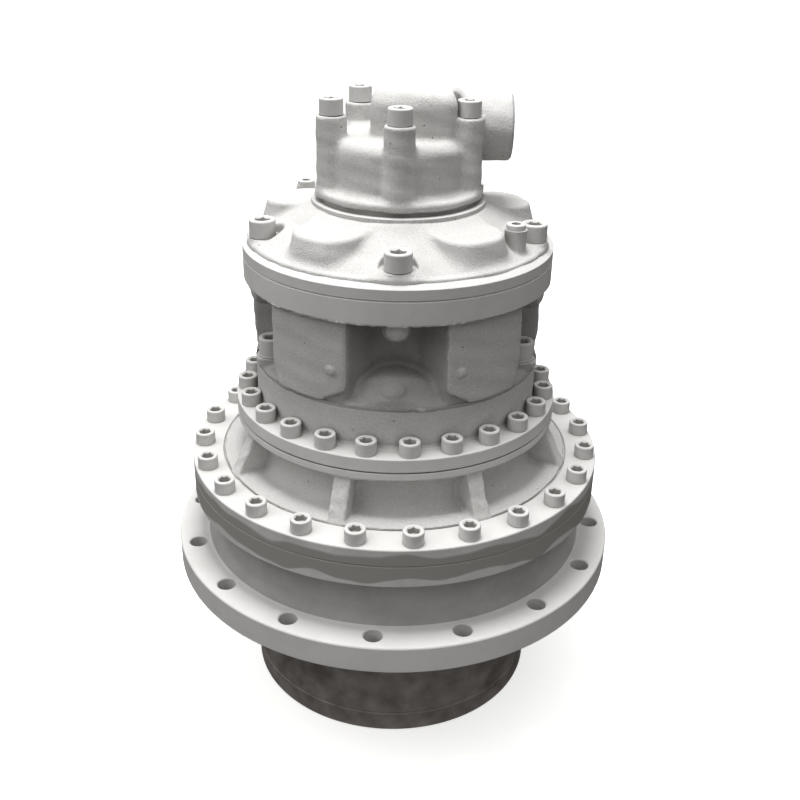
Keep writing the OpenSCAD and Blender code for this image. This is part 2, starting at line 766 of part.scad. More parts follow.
module motor_housing() color(cast) difference() {
  union() {
    revolve(concat(
      [
        [0, adapter_top], [adapter_wall_d / 2 - 1, adapter_top], [adapter_wall_d / 2, adapter_top + 1],
        [adapter_wall_d / 2, adapter_top + base_rim_t], [core_d / 2 + 8, base_z - 5]
      ],
      [
        [core_d / 2 + 2, base_z + 1], [core_d / 2, base_z + 8], [core_d / 2, motor_under - 8],
        [core_d / 2 + 3, motor_under - 2], [core_d / 2 + 8, motor_under],
        [motor_d / 2 - 3, motor_under], [motor_d / 2, motor_under + 2],
        [motor_d / 2, motor_top - chamfer / 2], [motor_d / 2 - chamfer / 2, motor_top], [0, motor_top]
      ]
    ));
    disc(motor_pilot_r - fit, adapter_top - motor_pilot_h, adapter_top + 1);
    around(cylinders, 0, first_lobe)
      motor_lobe(lobe_d / 2, lobe_w, adapter_top + base_rim_t, motor_under + 1);
    around(cylinders, cover_pcd / 2, motor_turn) revolve([
      [0, motor_under - 26], [boss_r / 2, motor_under - 26], [boss_r, motor_under - 14],
      [boss_r, motor_under + 2], [0, motor_under + 2]
    ]);
    intersection() {
      mount_places() disc(washer_r + 3, adapter_top + 1, adapter_top + mount_seat);
      disc(adapter_wall_d / 2 + 2, adapter_top, motor_top);
    }
    at(motor_turn, core_d / 2 + 4) translate([0, 0, adapter_top + 2])
      cylinder(r1 = gusset_r, r2 = gusset_r - 30, h = gusset_h);
    at(motor_turn - 1.5, core_d / 2 + 32) disc(pad_r, adapter_top + 2, adapter_top + pad_h);
    for (side = [-1, 1]) at(motor_turn + side * 24, lobe_d / 2 - 8) translate([0, 0, adapter_top + 43])
      rotate([0, 90, 0]) cylinder(r = 5, h = 9.5);
  }
  at(motor_turn) disc(chamber_d / 2, motor_floor, motor_top + 1);
  around(cylinders, 0, first_lobe) motor_lobe(pocket_out, pocket_w, motor_floor, motor_top + 1);
  around(cylinders, trunnion_pitch, first_lobe)
    disc(trunnion_r + fit, motor_floor - trunnion_depth, motor_floor + 1);
  disc(crank_race_r + fit, lower_crank_z, motor_floor + 1);
  disc(seal_bore_r + fit, adapter_top - motor_pilot_h - 1, lower_crank_z + 1);
  around(cylinders, cover_pcd / 2, motor_turn) disc(cover_thread / 2 + fit, motor_top - 36, motor_top + 1);
  mount_places() {
    disc(mount_thread / 2 + bolt_play, adapter_top - 1, adapter_top + mount_seat + 1);
    disc(washer_r + 2, adapter_top + mount_seat, adapter_top + mount_seat + 40);
  }
}

module mount_washers() color(cast) mount_places() {
  seat = adapter_top + mount_seat;
  ring(washer_r, mount_thread / 2 + bolt_play, seat, seat + thick_washer);
  ring(washer_r - 2, mount_thread / 2 + bolt_play, seat + thick_washer, mount_head_z);
}

module mount_bolts() color(cast)
  mount_places() translate([0, 0, mount_head_z])
    cap_screw(mount_thread, mount_head_z - adapter_top + mount_grip);

module motor_cover() color(cast) difference() {
  union() {
    revolve([
      [0, motor_top], [motor_d / 2 - chamfer / 2, motor_top], [motor_d / 2, motor_top + chamfer / 2],
      [motor_d / 2, motor_top + cover_rim_t - chamfer], [motor_d / 2 - chamfer, motor_top + cover_rim_t],
      [cover_step_r, motor_top + cover_rim_t], [cover_step_r - 1.5, motor_top + cover_rim_t + 2],
      [cover_step_r - 4, motor_top + cover_rim_t + cover_step_h - 1.5],
      [cover_step_r - 8, motor_top + cover_rim_t + cover_step_h],
      [cover_step_r - 36, motor_top + cover_rim_t + cover_step_h + 15],
      [hub_d / 2 + 16, cover_top - cover_hub_drop - 9], [hub_d / 2 + 3, cover_top - cover_hub_drop],
      [hub_d / 2, cover_top - cover_hub_drop], [hub_d / 2, cover_top - 1], [hub_d / 2 - 1, cover_top],
      [0, cover_top]
    ]);
    ring(chamber_d / 2 - fit, crank_race_r + 4, motor_top - 6, motor_top + 1);
    around(cylinders, 0, first_lobe) cover_lobe();
    around(cylinders, cover_pcd / 2, motor_turn)
      disc(0.75 * cover_thread + 0.5, motor_top + cover_rim_t, motor_top + cover_seat);
    drain_places() disc(drain_collar_r + 0.5, motor_top + cover_rim_t, drain_z);
  }
  disc(crank_race_r + fit, motor_top - 7, crank_top);
  disc(crank_race_track - 2, crank_top - 1, cover_top + 1);
  around(cylinders, trunnion_pitch, first_lobe)
    disc(trunnion_r + fit, motor_top - 1, motor_top + trunnion_depth);
  around(cylinders, cover_pcd / 2, motor_turn) {
    disc(cover_thread / 2 + bolt_play, motor_top - 1, motor_top + cover_seat + 1);
    translate([0, 0, motor_top + cover_seat])
      cylinder(r1 = 0.75 * cover_thread + 2, r2 = 0.75 * cover_thread + 7, h = 40);
  }
  around(cylinders, column_pcd / 2, motor_turn) disc(dist_thread / 2 + fit, cover_top - 28, cover_top + 1);
  drain_places() disc(drain_r + fit, drain_z - 16, drain_z + 1);
  seal_groove(3);
}

// Drain plugs beside a cover bolt, at the front right and at the left back
module drain_places() {
  for (a = [motor_turn + pitch - 14.5, motor_turn - 2 * pitch + 13.5]) at(a, drain_pitch) children();
}

// Lobe on the cover: a round end with drafted sides, running in to the hub
module cover_lobe() {
  foot = cover_lobe_w / 2 + 9;
  top = cover_lobe_w / 2;
  z0 = motor_top + cover_rim_t;
  height = cover_lobe_h - cover_rim_t;
  translate([cover_lobe_end - top, 0, z0]) {
    cylinder(r1 = foot, r2 = top, h = height);
    rotate([90, 0, -90]) linear_extrude(cover_lobe_end - top - cover_lobe_root)
      polygon([[-foot, 0], [foot, 0], [top, height], [-top, height]]);
  }
}

module cover_bolts() color(cast)
  around(cylinders, cover_pcd / 2, motor_turn) translate([0, 0, motor_top + cover_seat])
    cap_screw(cover_thread, cover_seat + 34);

module drain_plugs() color(cast) drain_places() translate([0, 0, drain_z])
  socket_plug(drain_r, 14, drain_collar_r, drain_collar_h);

// Boss of an oil port, along the x axis from the drum to the port face
module port_boss(z) {
  translate([0, 0, z]) rotate([0, 90, 0]) revolve([
    [0, 0], [port_boss_d / 2, 0], [port_boss_d / 2, port_reach - 3], [port_boss_d / 2 - 3, port_reach],
    [0, port_reach]
  ]);
}

module port_cut(z) {
  translate([0, 0, z]) rotate([0, 90, 0]) {
    cylinder(d = port_d, h = port_reach + 1);
    translate([0, 0, port_core_in]) cylinder(r = port_core_r, h = port_bore_in - port_core_in);
    for (sy = [-1, 1], sz = [-1, 1])
      translate([sz * port_long / 2, sy * port_short / 2, port_reach - port_screw_depth])
        cylinder(d = port_hole_d, h = port_screw_depth + 2);
  }
}

module port_a_place() { translate([0, port_a_y, 0]) children(); }
module port_b_place() { rotate(90) children(); }

module distributor_housing() color(cast) difference() {
  union() {
    revolve(concat(
      [
        [0, cover_top], [dist_base_d / 2 - 5, cover_top], [dist_base_d / 2 - 5, cover_top + dist_gap],
        [dist_base_d / 2 - 1, cover_top + dist_gap], [dist_base_d / 2, cover_top + dist_gap + 1],
        [dist_base_d / 2, cover_top + dist_gap + dist_base_t - 2],
        [dist_base_d / 2 - 2, cover_top + dist_gap + dist_base_t]
      ],
      arc(drum_d / 2 + 12, cover_top + dist_gap + dist_base_t + 12, 12, 270, 180),
      arc(drum_d / 2 - 14, cover_top + drum_h - 14, 14, 0, 90),
      [[0, cover_top + drum_h]]
    ));
    disc(crank_race_track - 2 - fit, cover_top - 8, cover_top + 1);
    around(cylinders, column_pcd / 2, motor_turn) revolve([
      [0, column_foot], [column_d / 2 + 1.5, column_foot], [column_d / 2, column_foot + 16],
      [column_d / 2, column_seat - 2], [column_d / 2 - 2, column_seat], [0, column_seat]
    ]);
    oil_passage();
    port_a_place() port_boss(port_a_z);
    port_b_place() port_boss(port_b_z);
  }
  disc(valve_r + fit, cover_top - 9, valve_top);
  translate([riser_x, riser_y, 0]) disc(riser_r, valve_top - 1, port_a_z + port_core_r + 2);
  around(cylinders, column_pcd / 2, motor_turn) {
    disc(dist_thread / 2 + bolt_play, cover_top - 1, column_seat + 1);
    disc(0.75 * dist_thread + 2.5, column_seat, cover_top + passage_h + 10);
  }
  port_a_place() port_cut(port_a_z);
  port_b_place() port_cut(port_b_z);
}

// Raised oil passage from the valve chamber to the upper port
module oil_passage() {
  top = cover_top + passage_h;
  foot = cover_top + drum_h - 20;
  translate([passage_x0, 0, 0]) rotate([90, 0, 90]) linear_extrude(passage_x1 - passage_x0)
    polygon(concat(
      [[passage_y0, foot], [passage_y1, foot]],
      arc(passage_y1 - passage_round, top - passage_round, passage_round, 0, 90),
      arc(passage_y0 + passage_round, top - passage_round, passage_round, 90, 180)
    ));
}

module distributor_bolts() color(cast)
  around(cylinders, column_pcd / 2, motor_turn) translate([0, 0, column_seat])
    cap_screw(dist_thread, column_h + 26);

// Swinging cylinders on their trunnions, one in each lobe
module swing_cylinders() color(steel) around(cylinders, 0, first_lobe) difference() {
  union() {
    translate([cylinder_in, 0, cylinder_z]) rotate([0, 90, 0])
      cylinder(r = cylinder_r, h = cylinder_out - cylinder_in);
    translate([trunnion_pitch, 0, 0])
      disc(trunnion_r, motor_floor - trunnion_depth, motor_top + trunnion_depth);
  }
  translate([cylinder_in - 1, 0, cylinder_z]) rotate([0, 90, 0])
    cylinder(r = piston_r + fit, h = cylinder_out - cylinder_in - 7);
}

// Pistons with their feet just clear of the sweep of the eccentric
module pistons() color(bright) around(cylinders, 0, first_lobe) difference() {
  translate([sweep_r + foot_gap - 4, 0, cylinder_z]) rotate([0, 90, 0]) {
    cylinder(r = piston_r, h = cylinder_out - 12 - sweep_r - foot_gap + 4);
    cylinder(r = piston_r + 4, h = 12);
  }
  disc(sweep_r + foot_gap, crank_z - 20, crank_end + 20);
  translate([sweep_r + foot_gap + 20, 0, cylinder_z]) rotate([0, 90, 0]) cylinder(r = piston_r - 7, h = 100);
}

module crank_bearing_outer_races() color(bright)
  for (z = [lower_crank_z, upper_crank_z]) ring(crank_race_r, crank_race_track, z, z + crank_bearing_w);

module crank_bearing_inner_races() color(bright)
  for (z = [lower_crank_z, upper_crank_z]) ring(crank_inner_track, journal_r + fit, z, z + crank_bearing_w);

module crank_bearing_rollers() color(bright)
  for (z = [lower_crank_z, upper_crank_z])
    around(crank_rollers, (crank_race_track + crank_inner_track) / 2)
      disc(crank_roller_r, z + 2, z + crank_bearing_w - 2);

module shaft_seal() color(seal_black)
  ring(seal_bore_r, journal_r + fit, adapter_top, lower_crank_z);

module crankshaft() color(steel) difference() {
  union() {
    translate([0, 0, drive_split]) rotate(-90) linear_extrude(drive_l, convexity = 6)
      spline_outline(drive_r, drive_r - 4, drive_n);
    disc(drive_r - 5, drive_split + drive_l - 1, adapter_top - motor_pilot_h + 1);
    disc(journal_r, adapter_top - motor_pilot_h, crank_z + 1);
    disc(crank_inner_track, motor_floor, crank_z + 1);
    at(motor_turn, crank_throw) disc(eccentric_r, crank_z, crank_end);
    disc(crank_inner_track, crank_end - 1, upper_crank_z);
    disc(journal_r, upper_crank_z - 1, crank_top);
  }
  translate([0, 0, crank_top - tongue_h / 2]) tongue_slot();
}

// Slot that a tongue of the valve drive slides in
module tongue_slot()
  cube([tongue_l + 2 * fit, tongue_w + 2 * fit, tongue_h + 0.01], center = true);

module eccentric_bush() color(bronze)
  at(motor_turn, crank_throw) ring(bush_r, eccentric_r + fit, crank_z + washer_t, crank_end - washer_t);

module valve_drive() color(steel) {
  disc(drive_pin_r, crank_top, valve_z);
  for (z = [crank_top - tongue_h, valve_z - 1])
    translate([-tongue_l / 2, -tongue_w / 2, z]) cube([tongue_l, tongue_w, tongue_h + 1]);
}

module rotary_valve() color(bright) difference() {
  disc(valve_r, valve_z, valve_top - 3);
  translate([0, 0, valve_z + tongue_h / 2]) tongue_slot();
  for (z = valve_grooves) ring(valve_r + 1, valve_r - 8, valve_z + z - 8, valve_z + z + 8);
}

// Groove for a sealing ring in the lower face of a joint
module seal_groove(i) {
  r = seal_joints[i][0];
  z = seal_joints[i][1];
  ring(r + groove_w / 2, r - groove_w / 2, z - groove_h, z + 1);
}

module joint_seals() color(seal_black)
  for (joint = seal_joints)
    translate([0, 0, joint[1] - groove_h / 2]) rotate_extrude() translate([joint[0], 0])
      circle(r = groove_h / 2 - fit / 2, $fn = 24);

output_housing();
end_ring();
end_ring_screws();
output_seal();
main_bearing_outer_races();
output_ring_gear();
gear_case();
case_bolts();
input_ring_gear();
motor_adapter();
adapter_bolts();
motor_housing();
mount_bolts();
mount_washers();
motor_cover();
cover_bolts();
drain_plugs();
distributor_housing();
distributor_bolts();
swing_cylinders();
pistons();
crank_bearing_outer_races();
shaft_seal();
joint_seals();
oil_plugs();
output_shaft();
output_pins();
output_bushes();
output_thrust_washers();
main_bearing_inner_races();
bearing_spacer();
lock_nut();
output_planet_1();
output_planet_2();
output_planet_3();
output_planet_4();
main_bearing_rollers();
input_carrier();
input_pins();
input_bushes();
input_thrust_washer();
output_sun();
input_planet_1();
input_planet_2();
input_planet_3();
crankshaft();
eccentric_bush();
crank_bearing_inner_races();
rotary_valve();
valve_drive();
coupling_sleeve();
input_sun();
crank_bearing_rollers();
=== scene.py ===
"""Looks of a vertical gear motor: a five-cylinder radial piston motor on a two-stage planetary gearbox.

Lengths in the shape code are millimetres, and a mesh is scaled to metres when it is made. Angles round
the axis are counted from the front (-Y) towards +X. Castings are distance fields sampled on a grid, so
that every inside corner gets the fillet a foundry pattern has; turned faces are plain revolved meshes.
"""
import math

import bmesh
import bpy
import numpy as np
from bpy.props import FloatProperty, FloatVectorProperty, IntProperty, PointerProperty
from mathutils import Matrix, Vector


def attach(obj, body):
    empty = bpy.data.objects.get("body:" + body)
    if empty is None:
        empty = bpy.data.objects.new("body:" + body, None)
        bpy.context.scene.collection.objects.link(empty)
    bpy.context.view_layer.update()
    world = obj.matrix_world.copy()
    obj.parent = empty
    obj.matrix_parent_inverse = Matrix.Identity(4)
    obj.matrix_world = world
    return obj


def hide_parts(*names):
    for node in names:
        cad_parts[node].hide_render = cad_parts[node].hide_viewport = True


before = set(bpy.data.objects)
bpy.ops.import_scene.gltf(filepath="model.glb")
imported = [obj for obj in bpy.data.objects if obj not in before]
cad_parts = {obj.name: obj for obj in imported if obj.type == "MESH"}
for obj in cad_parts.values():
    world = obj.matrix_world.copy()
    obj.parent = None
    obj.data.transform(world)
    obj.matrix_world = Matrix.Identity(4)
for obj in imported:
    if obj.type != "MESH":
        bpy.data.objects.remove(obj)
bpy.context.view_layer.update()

bl_info = {
    "name": "Gear motor looks",
    "version": (1, 0, 0),
    "blender": (4, 5, 0),
    "location": "3D View > Sidebar > Gear motor",
    "description": "Castings, screws, finishes and stage of a vertical gear motor",
    "category": "Object",
}

MM = 0.001

# Sizes of the part's source. _R is a radius, _W a width, _Z, _TOP and _SEAT are heights over the foot,
# _PITCH is the radius of a circle of screws, and _TURN the angle of its first one from the front
SPIGOT_R, FLANGE_R, NECK_R, RING_R = 187, 281.4, 234, 257
FLANGE_Z, FLANGE_TOP, RING_Z, JOINT_Z, RING_TOP, LAND_Z = 177, 211.5, 275, 302, 323.5, 325
LAND_R, CASE_WALL_R, CASE_COVE, CASE_TOP, CASE_PLATE = 216.5, 173, 17, 384.5, 12
ADAPTER_R, ADAPTER_WALL_R, ADAPTER_LAND, ADAPTER_TOP = 198, 172, 401, 446
MOTOR_FLOOR, MOTOR_UNDER, MOTOR_TOP, MOTOR_R, CORE_R = 476, 549.5, 577.5, 182.3, 118
LOBE_R, LOBE_W, CHAMBER_R, RIB_T = 175, 108, 100, 20
ARCH_R, ARCH_H, ARCH_HALF = 154, 30, 82
COVER_RIM, COVER_STEP_R, COVER_TOP, HUB_R = 591, 176, 641, 101
COVER_LOBE_W, COVER_LOBE_END, COVER_LOBE_CORNER, COVER_LOBE_TOP, COVER_SEAT = 84, 168, 33, 630, 605
DIST_FOOT, DIST_BASE_R, DIST_BASE_TOP, DRUM_R, DRUM_TOP = 646, 97, 655, 80, 712
COLUMN_R, COLUMN_SEAT, PASSAGE_TOP, PORT_R, PORT_REACH = 17, 736, 765, 38, 127
PORT_A, PORT_B = (18, 718), (0, 690)
VALVE_R, VALVE_TOP, RISER, PORT_WAY = 42.05, 704, (10, 6, 22, 736), ((4, 16), (60, 12.5))
CASE_TURN, MOTOR_TURN, FLANGE_TURN, RIBS, CYLINDERS = 5.5, 0.5, -4.25, 8, 5
LOBE_TURN = MOTOR_TURN + 36
RING_PITCH, ADAPTER_PITCH, MOUNT_PITCH, COVER_PITCH, COLUMN_PITCH = 241.8, 184, 156, 160.6, 79.3
MOUNT_SEAT, MOUNT_HEAD, BOSS_R, WASHER_R = 455, 462, 17, 18.5
OUTPUT_RING_R, INPUT_RING_R, OUTPUT_FLOOR, INPUT_FLOOR, INPUT_LID = 206, 158, 218, 322, 374
DRAIN_TURNS, DRAIN_PITCH, DRAIN_Z = (58, -130), 152, 627
OIL_TURNS, OIL_R, OIL_Z = (165, 195), 166, 424
SPIGOT_FOOT, RACE_R, SHOULDER_R, SHOULDER_Z, SHOULDER_TOP = 27, 165, 155, 70, 140
FLANGE_PITCH, FLANGE_HOLES, RING_SCREWS, END_PITCH, END_SCREWS = 260, 16, 24, 176, 12
CASE_LIP_R, CASE_LIP_Z, CASE_BORE_R, INNER_R = 182, 292, 148, 150
PILOT_R, CRANK_SEAT_R, CRANK_BEARING_R, DIST_PILOT_R, SEAL_LOW, SEAL_HIGH = 95, 48, 60, 50, 59.8, 64.2
DOWEL_R, DOWEL_PITCH, PORT_HOLES = 14.05, 130, [(a, b) for a in (-26.2, 26.2) for b in (-13.1, 13.1)]
LOBE_STEP = 360 / CYLINDERS
FIT = 0.05  # play between two turned faces, on the radius
LYING = Matrix.Rotation(math.radians(90), 4, "Y")  # lays what stands upright along the way out


# ---------------------------------------------------------------- properties

class GearMotorShape(bpy.types.PropertyGroup):
    """Sizes that set how the castings and screws are dressed"""

    cell: FloatProperty(
        name="Cell", description="Grid cell of the large castings", default=0.002, min=0.0016, max=0.005,
        unit="LENGTH", precision=4)
    fine_cell: FloatProperty(
        name="Fine cell", description="Grid cell of the cover and the distributor", default=0.0016,
        min=0.0014, max=0.004, unit="LENGTH", precision=4)
    waviness: FloatProperty(
        name="Waviness", description="How far a cast face wanders from the pattern", default=0.00035,
        min=0, max=0.001, unit="LENGTH", precision=5)
    rib_fillet: FloatProperty(
        name="Rib fillet", description="Fillet at the foot of the case ribs", default=0.003, min=0.002,
        max=0.012, unit="LENGTH", precision=4)
    lobe_fillet: FloatProperty(
        name="Lobe fillet", description="Fillet where the motor lobes meet the core", default=0.014,
        min=0.004, max=0.018, unit="LENGTH", precision=4)
    cover_fillet: FloatProperty(
        name="Cover fillet", description="Fillet round the lobes of the cover", default=0.006, min=0.003,
        max=0.016, unit="LENGTH", precision=4)
    segments: IntProperty(
        name="Segments", description="Segments round a turned face", default=288, min=96, max=360)


class GearMotorScrews(bpy.types.PropertyGroup):
    """Sizes of the socket head screws"""

    soft: FloatProperty(
        name="Head edge", description="Rounding of the head's top edge, as a share of the thread",
        default=0.11, min=0.03, max=0.16)
    socket: FloatProperty(
        name="Socket depth", description="Depth of the hexagon, as a share of the thread", default=0.5,
        min=0.3, max=0.6)
    seed: IntProperty(name="Seed", description="How each screw was left turned", default=7, min=0)


def linear(code):
    """Linear colour of an sRGB hex value"""
    channels = [int(code[i:i + 2], 16) / 255 for i in (1, 3, 5)]
    return tuple(c / 12.92 if c <= 0.04045 else ((c + 0.055) / 1.055) ** 2.4 for c in channels)


def colour(name, description, code):
    """Colour property whose default is an sRGB hex value"""
    return FloatVectorProperty(
        name=name, description=description, default=linear(code), size=3, min=0, max=1, subtype="COLOR")


class GearMotorFinish(bpy.types.PropertyGroup):
    """Colours of the finishes"""

    primer: colour("Primer", "Matt primer on the castings", "#c8c7c5")
    primer_dark: colour("Shaded primer", "Primer where dust and oil have stained it", "#87837e")
    # Colour of the sand pits, and also of the painted shade that the primer gets in corners and creases
    grime_and_shade: colour("Grime", "Dirt that has settled in corners", "#5f5952")
    iron: colour("Oiled iron", "Bare oiled iron of the spigot", "#97918d")
    iron_stain: colour("Iron stain", "Darker bloom on the bare iron", "#6a6460")
    steel: colour("Steel", "Machined steel", "#a6a8aa")
    bearing: colour("Bearing steel", "Hardened and ground steel", "#c6c8ca")
    bronze: colour("Bronze", "Bearing bronze", "#b08d57")
    rubber: colour("Rubber", "Nitrile rubber", "#262523")


class GearMotorStage(bpy.types.PropertyGroup):
    """Light and floor"""

    floor: colour("Floor", "Pale backdrop paper", "#f6f6f4")
    sky: FloatProperty(name="Sky", description="Strength of the soft sky", default=1.2, min=0, max=4)
    key: FloatProperty(
        name="Key", description="Power of the large overhead softbox", default=44, min=0, max=400,
        unit="POWER")
    side: FloatProperty(
        name="Side", description="Power of the softbox at the upper left", default=8, min=0, max=400,
        unit="POWER")
    ground: FloatProperty(
        name="Ground", description="Power of the light that the ground in front throws back", default=1.0,
        min=0, max=40, unit="POWER")


def settings():
    """The settings that the panel shows"""
    return bpy.context.scene.gear_motor


# -------------------------------------------------------------------- meshes

def link(name, mesh):
    """Object of a mesh, light or camera, in the scene"""
    item = bpy.data.objects.new(name, mesh)
    bpy.context.scene.collection.objects.link(item)
    return item


def from_bmesh(name, shape):
    """Object of a bmesh in millimetres, with its doubles merged and its faces turned outwards"""
    bmesh.ops.remove_doubles(shape, verts=shape.verts, dist=1e-4)
    bmesh.ops.dissolve_degenerate(shape, edges=shape.edges, dist=1e-5)
    bmesh.ops.recalc_face_normals(shape, faces=shape.faces)
    bmesh.ops.scale(shape, vec=(MM, MM, MM), verts=shape.verts)
    mesh = bpy.data.meshes.new(name)
    shape.to_mesh(mesh)
    shape.free()
    return link(name, mesh)


def revolve(name, outline, segments=None):
    """Object of a closed outline of (radius, height) points, turned round the axis"""
    segments = segments or settings().shape.segments
    shape = bmesh.new()
    rings = []
    for i in range(segments):
        a = 2 * math.pi * i / segments
        rings.append([shape.verts.new((r * math.cos(a), r * math.sin(a), z)) for r, z in outline])
    for i, ring in enumerate(rings):
        other = rings[(i + 1) % segments]
        for j in range(len(outline)):
            k = (j + 1) % len(outline)
            if outline[j][0] > 0 or outline[k][0] > 0:
                shape.faces.new((ring[j], other[j], other[k], ring[k]))
    return from_bmesh(name, shape)


def prism(name, outline, z0, z1):
    """Object of a closed outline of (x, y) points, raised from z0 to z1"""
    shape = bmesh.new()
    low = [shape.verts.new((x, y, z0)) for x, y in outline]
    high = [shape.verts.new((x, y, z1)) for x, y in outline]
    shape.faces.new(low[::-1])
    shape.faces.new(high)
    for i in range(len(outline)):
        k = (i + 1) % len(outline)
        shape.faces.new((low[i], low[k], high[k], high[i]))
    return from_bmesh(name, shape)


def arc(cx, cz, r, a0, a1, steps=8):
    """Points of an arc, with its angles in degrees"""
    angles = [math.radians(a0 + (a1 - a0) * i / steps) for i in range(steps + 1)]
    return [(cx + r * math.cos(a), cz + r * math.sin(a)) for a in angles]


def column(r, z0, z1):
    """Outline of a round bar from z0 to z1"""
    return [(0, z0), (r, z0), (r, z1), (0, z1)]


def stepped(r, seat, wide, z0, z1):
    """Outline of a round bar that is wider above a seat"""
    return [(0, z0), (r, z0), (r, seat), (wide, seat), (wide, z1), (0, z1)]


def hexagon(across, z0, z1, turn=0):
    """Object of a hexagonal bar, with its corners at a radius"""
    corners = [math.radians(60 * k + turn) for k in range(6)]
    return prism("socket", [(across * math.cos(a), across * math.sin(a)) for a in corners], z0, z1)


def shift(item, angle=None, radius=0, z=0, matrix=None):
    """Moves an object's mesh by a matrix or to an angle, radius and height, with the object left in place"""
    place = matrix or Matrix.Identity(4)
    if angle is not None:
        turn = Matrix.Rotation(math.radians(angle - 90), 4, "Z")
        place = turn @ Matrix.Translation((radius * MM, 0, z * MM)) @ place
    item.data.transform(place)
    return item


def evaluate(item):
    """Replaces an object's mesh by what its modifiers make of it, and removes them"""
    graph = bpy.context.evaluated_depsgraph_get()
    mesh = bpy.data.meshes.new_from_object(item.evaluated_get(graph), depsgraph=graph)
    item.modifiers.clear()
    old, item.data = item.data, mesh
    bpy.data.meshes.remove(old)
    return item


def combine(item, tools, operation="DIFFERENCE"):
    """Cuts the tools from an object or adds them to it, and removes them"""
    for tool in tools:
        change = item.modifiers.new("Combine", "BOOLEAN")
        change.operation = operation
        change.solver = "MANIFOLD"
        change.object = tool
    evaluate(item)
    for tool in tools:
        mesh = tool.data
        bpy.data.objects.remove(tool)
        bpy.data.meshes.remove(mesh)
    if not item.data.polygons:
        raise RuntimeError(f"{item.name} is empty after {operation}")
    return item


# --------------------------------------------------------- copies on a circle

def add(tree, kind, links=(), **settings_of_node):
    """Adds a node, sets its properties, and sets or links its inputs"""
    item = tree.nodes.new(kind)
    for key, value in settings_of_node.items():
        setattr(item, key, value)
    for key, value in dict(links).items():
        if isinstance(value, bpy.types.NodeSocket):
            tree.links.new(value, item.inputs[key])
        else:
            item.inputs[key].default_value = value
    return item


def circle_tree():
    """Geometry Nodes tree: copies of the incoming mesh on a circle round the axis"""
    name = "Copies on a circle"
    if name in bpy.data.node_groups:
        return bpy.data.node_groups[name]
    tree = bpy.data.node_groups.new(name, "GeometryNodeTree")
    face = tree.interface
    face.new_socket("Geometry", in_out="INPUT", socket_type="NodeSocketGeometry")
    for label, kind in (
            ("Count", "Int"), ("Step", "Float"), ("Turn", "Float"), ("Radius", "Float"),
            ("Height", "Float"), ("Spin", "Float"), ("Seed", "Int"), ("Material", "Material")):
        face.new_socket(label, in_out="INPUT", socket_type="NodeSocket" + kind)
    face.new_socket("Geometry", in_out="OUTPUT", socket_type="NodeSocketGeometry")
    given = add(tree, "NodeGroupInput").outputs
    number = add(tree, "GeometryNodeInputIndex")
    steps = add(tree, "ShaderNodeMath", {0: number.outputs[0], 1: given["Step"], 2: given["Turn"]},
                operation="MULTIPLY_ADD")
    arm = add(tree, "ShaderNodeCombineXYZ", {"X": given["Radius"], "Z": given["Height"]})
    spot = add(tree, "ShaderNodeVectorRotate", {"Vector": arm.outputs[0], "Angle": steps.outputs[0]},
               rotation_type="Z_AXIS")
    points = add(tree, "GeometryNodePoints", {"Count": given["Count"], "Position": spot.outputs[0]})
    chance = add(tree, "FunctionNodeRandomValue", {2: 0.0, 3: 1.0, "Seed": given["Seed"]},
                 data_type="FLOAT")
    spin = add(tree, "ShaderNodeMath", {0: chance.outputs[1], 1: given["Spin"], 2: steps.outputs[0]},
               operation="MULTIPLY_ADD")
    turn = add(tree, "ShaderNodeCombineXYZ", {"Z": spin.outputs[0]})
    copies = add(tree, "GeometryNodeInstanceOnPoints", {
        "Points": points.outputs[0], "Instance": given["Geometry"], "Rotation": turn.outputs[0]})
    solid = add(tree, "GeometryNodeRealizeInstances", {0: copies.outputs[0]})
    painted = add(tree, "GeometryNodeSetMaterial",
                  {"Geometry": solid.outputs[0], "Material": given["Material"]})
    add(tree, "NodeGroupOutput", {0: painted.outputs[0]})
    return tree


def on_circle(item, radius, turn, count, step=None, height=0, spin=0, finish=None):
    """Turns a mesh at the origin into copies on a circle, the first at an angle from the front"""
    change = item.modifiers.new("Circle", "NODES")
    change.node_group = circle_tree()
    sockets = {s.name: s.identifier for s in change.node_group.interface.items_tree if s.in_out == "INPUT"}
    values = {
        "Count": count, "Step": math.radians(step or 360 / count), "Turn": math.radians(turn - 90),
        "Radius": radius * MM, "Height": height * MM, "Spin": math.radians(spin),
        "Seed": settings().screws.seed, "Material": finish}
    for label, value in values.items():
        if value is not None:
            change[sockets[label]] = value
    return evaluate(item)


def holes(outline, radius, turn, count, step=None, segments=32):
    """Turned cutters on a circle"""
    return on_circle(revolve("holes", outline, segments), radius, turn, count, step)


# -------------------------------------------------------------------- castings

def fillet(a, b, r):
    """Union of two fields, with a fillet of radius r in the corner. r may differ from place to place"""
    return np.maximum(r, np.minimum(a, b)) - np.hypot(np.maximum(r - a, 0), np.maximum(r - b, 0))


def rounded(a, b, r):
    """Where two fields overlap, with the edge between them rounded to radius r"""
    return -fillet(-a, -b, r)


def outline_distance(u, v, outline):
    """Signed distance to a closed outline, negative inside"""
    nearest = np.full(np.broadcast(u, v).shape, 1e9)
    inside = np.zeros(nearest.shape, bool)
    for (ax, ay), (bx, by) in zip(outline, outline[1:] + outline[:1]):
        ex, ey = bx - ax, by - ay
        wx, wy = u - ax, v - ay
        t = np.clip((wx * ex + wy * ey) / max(ex * ex + ey * ey, 1e-9), 0, 1)
        nearest = np.minimum(nearest, np.hypot(wx - t * ex, wy - t * ey))
        if ay != by:
            inside ^= ((ay > v) != (by > v)) & (u < ax + (v - ay) * ex / ey)
    return np.where(inside, -nearest, nearest)


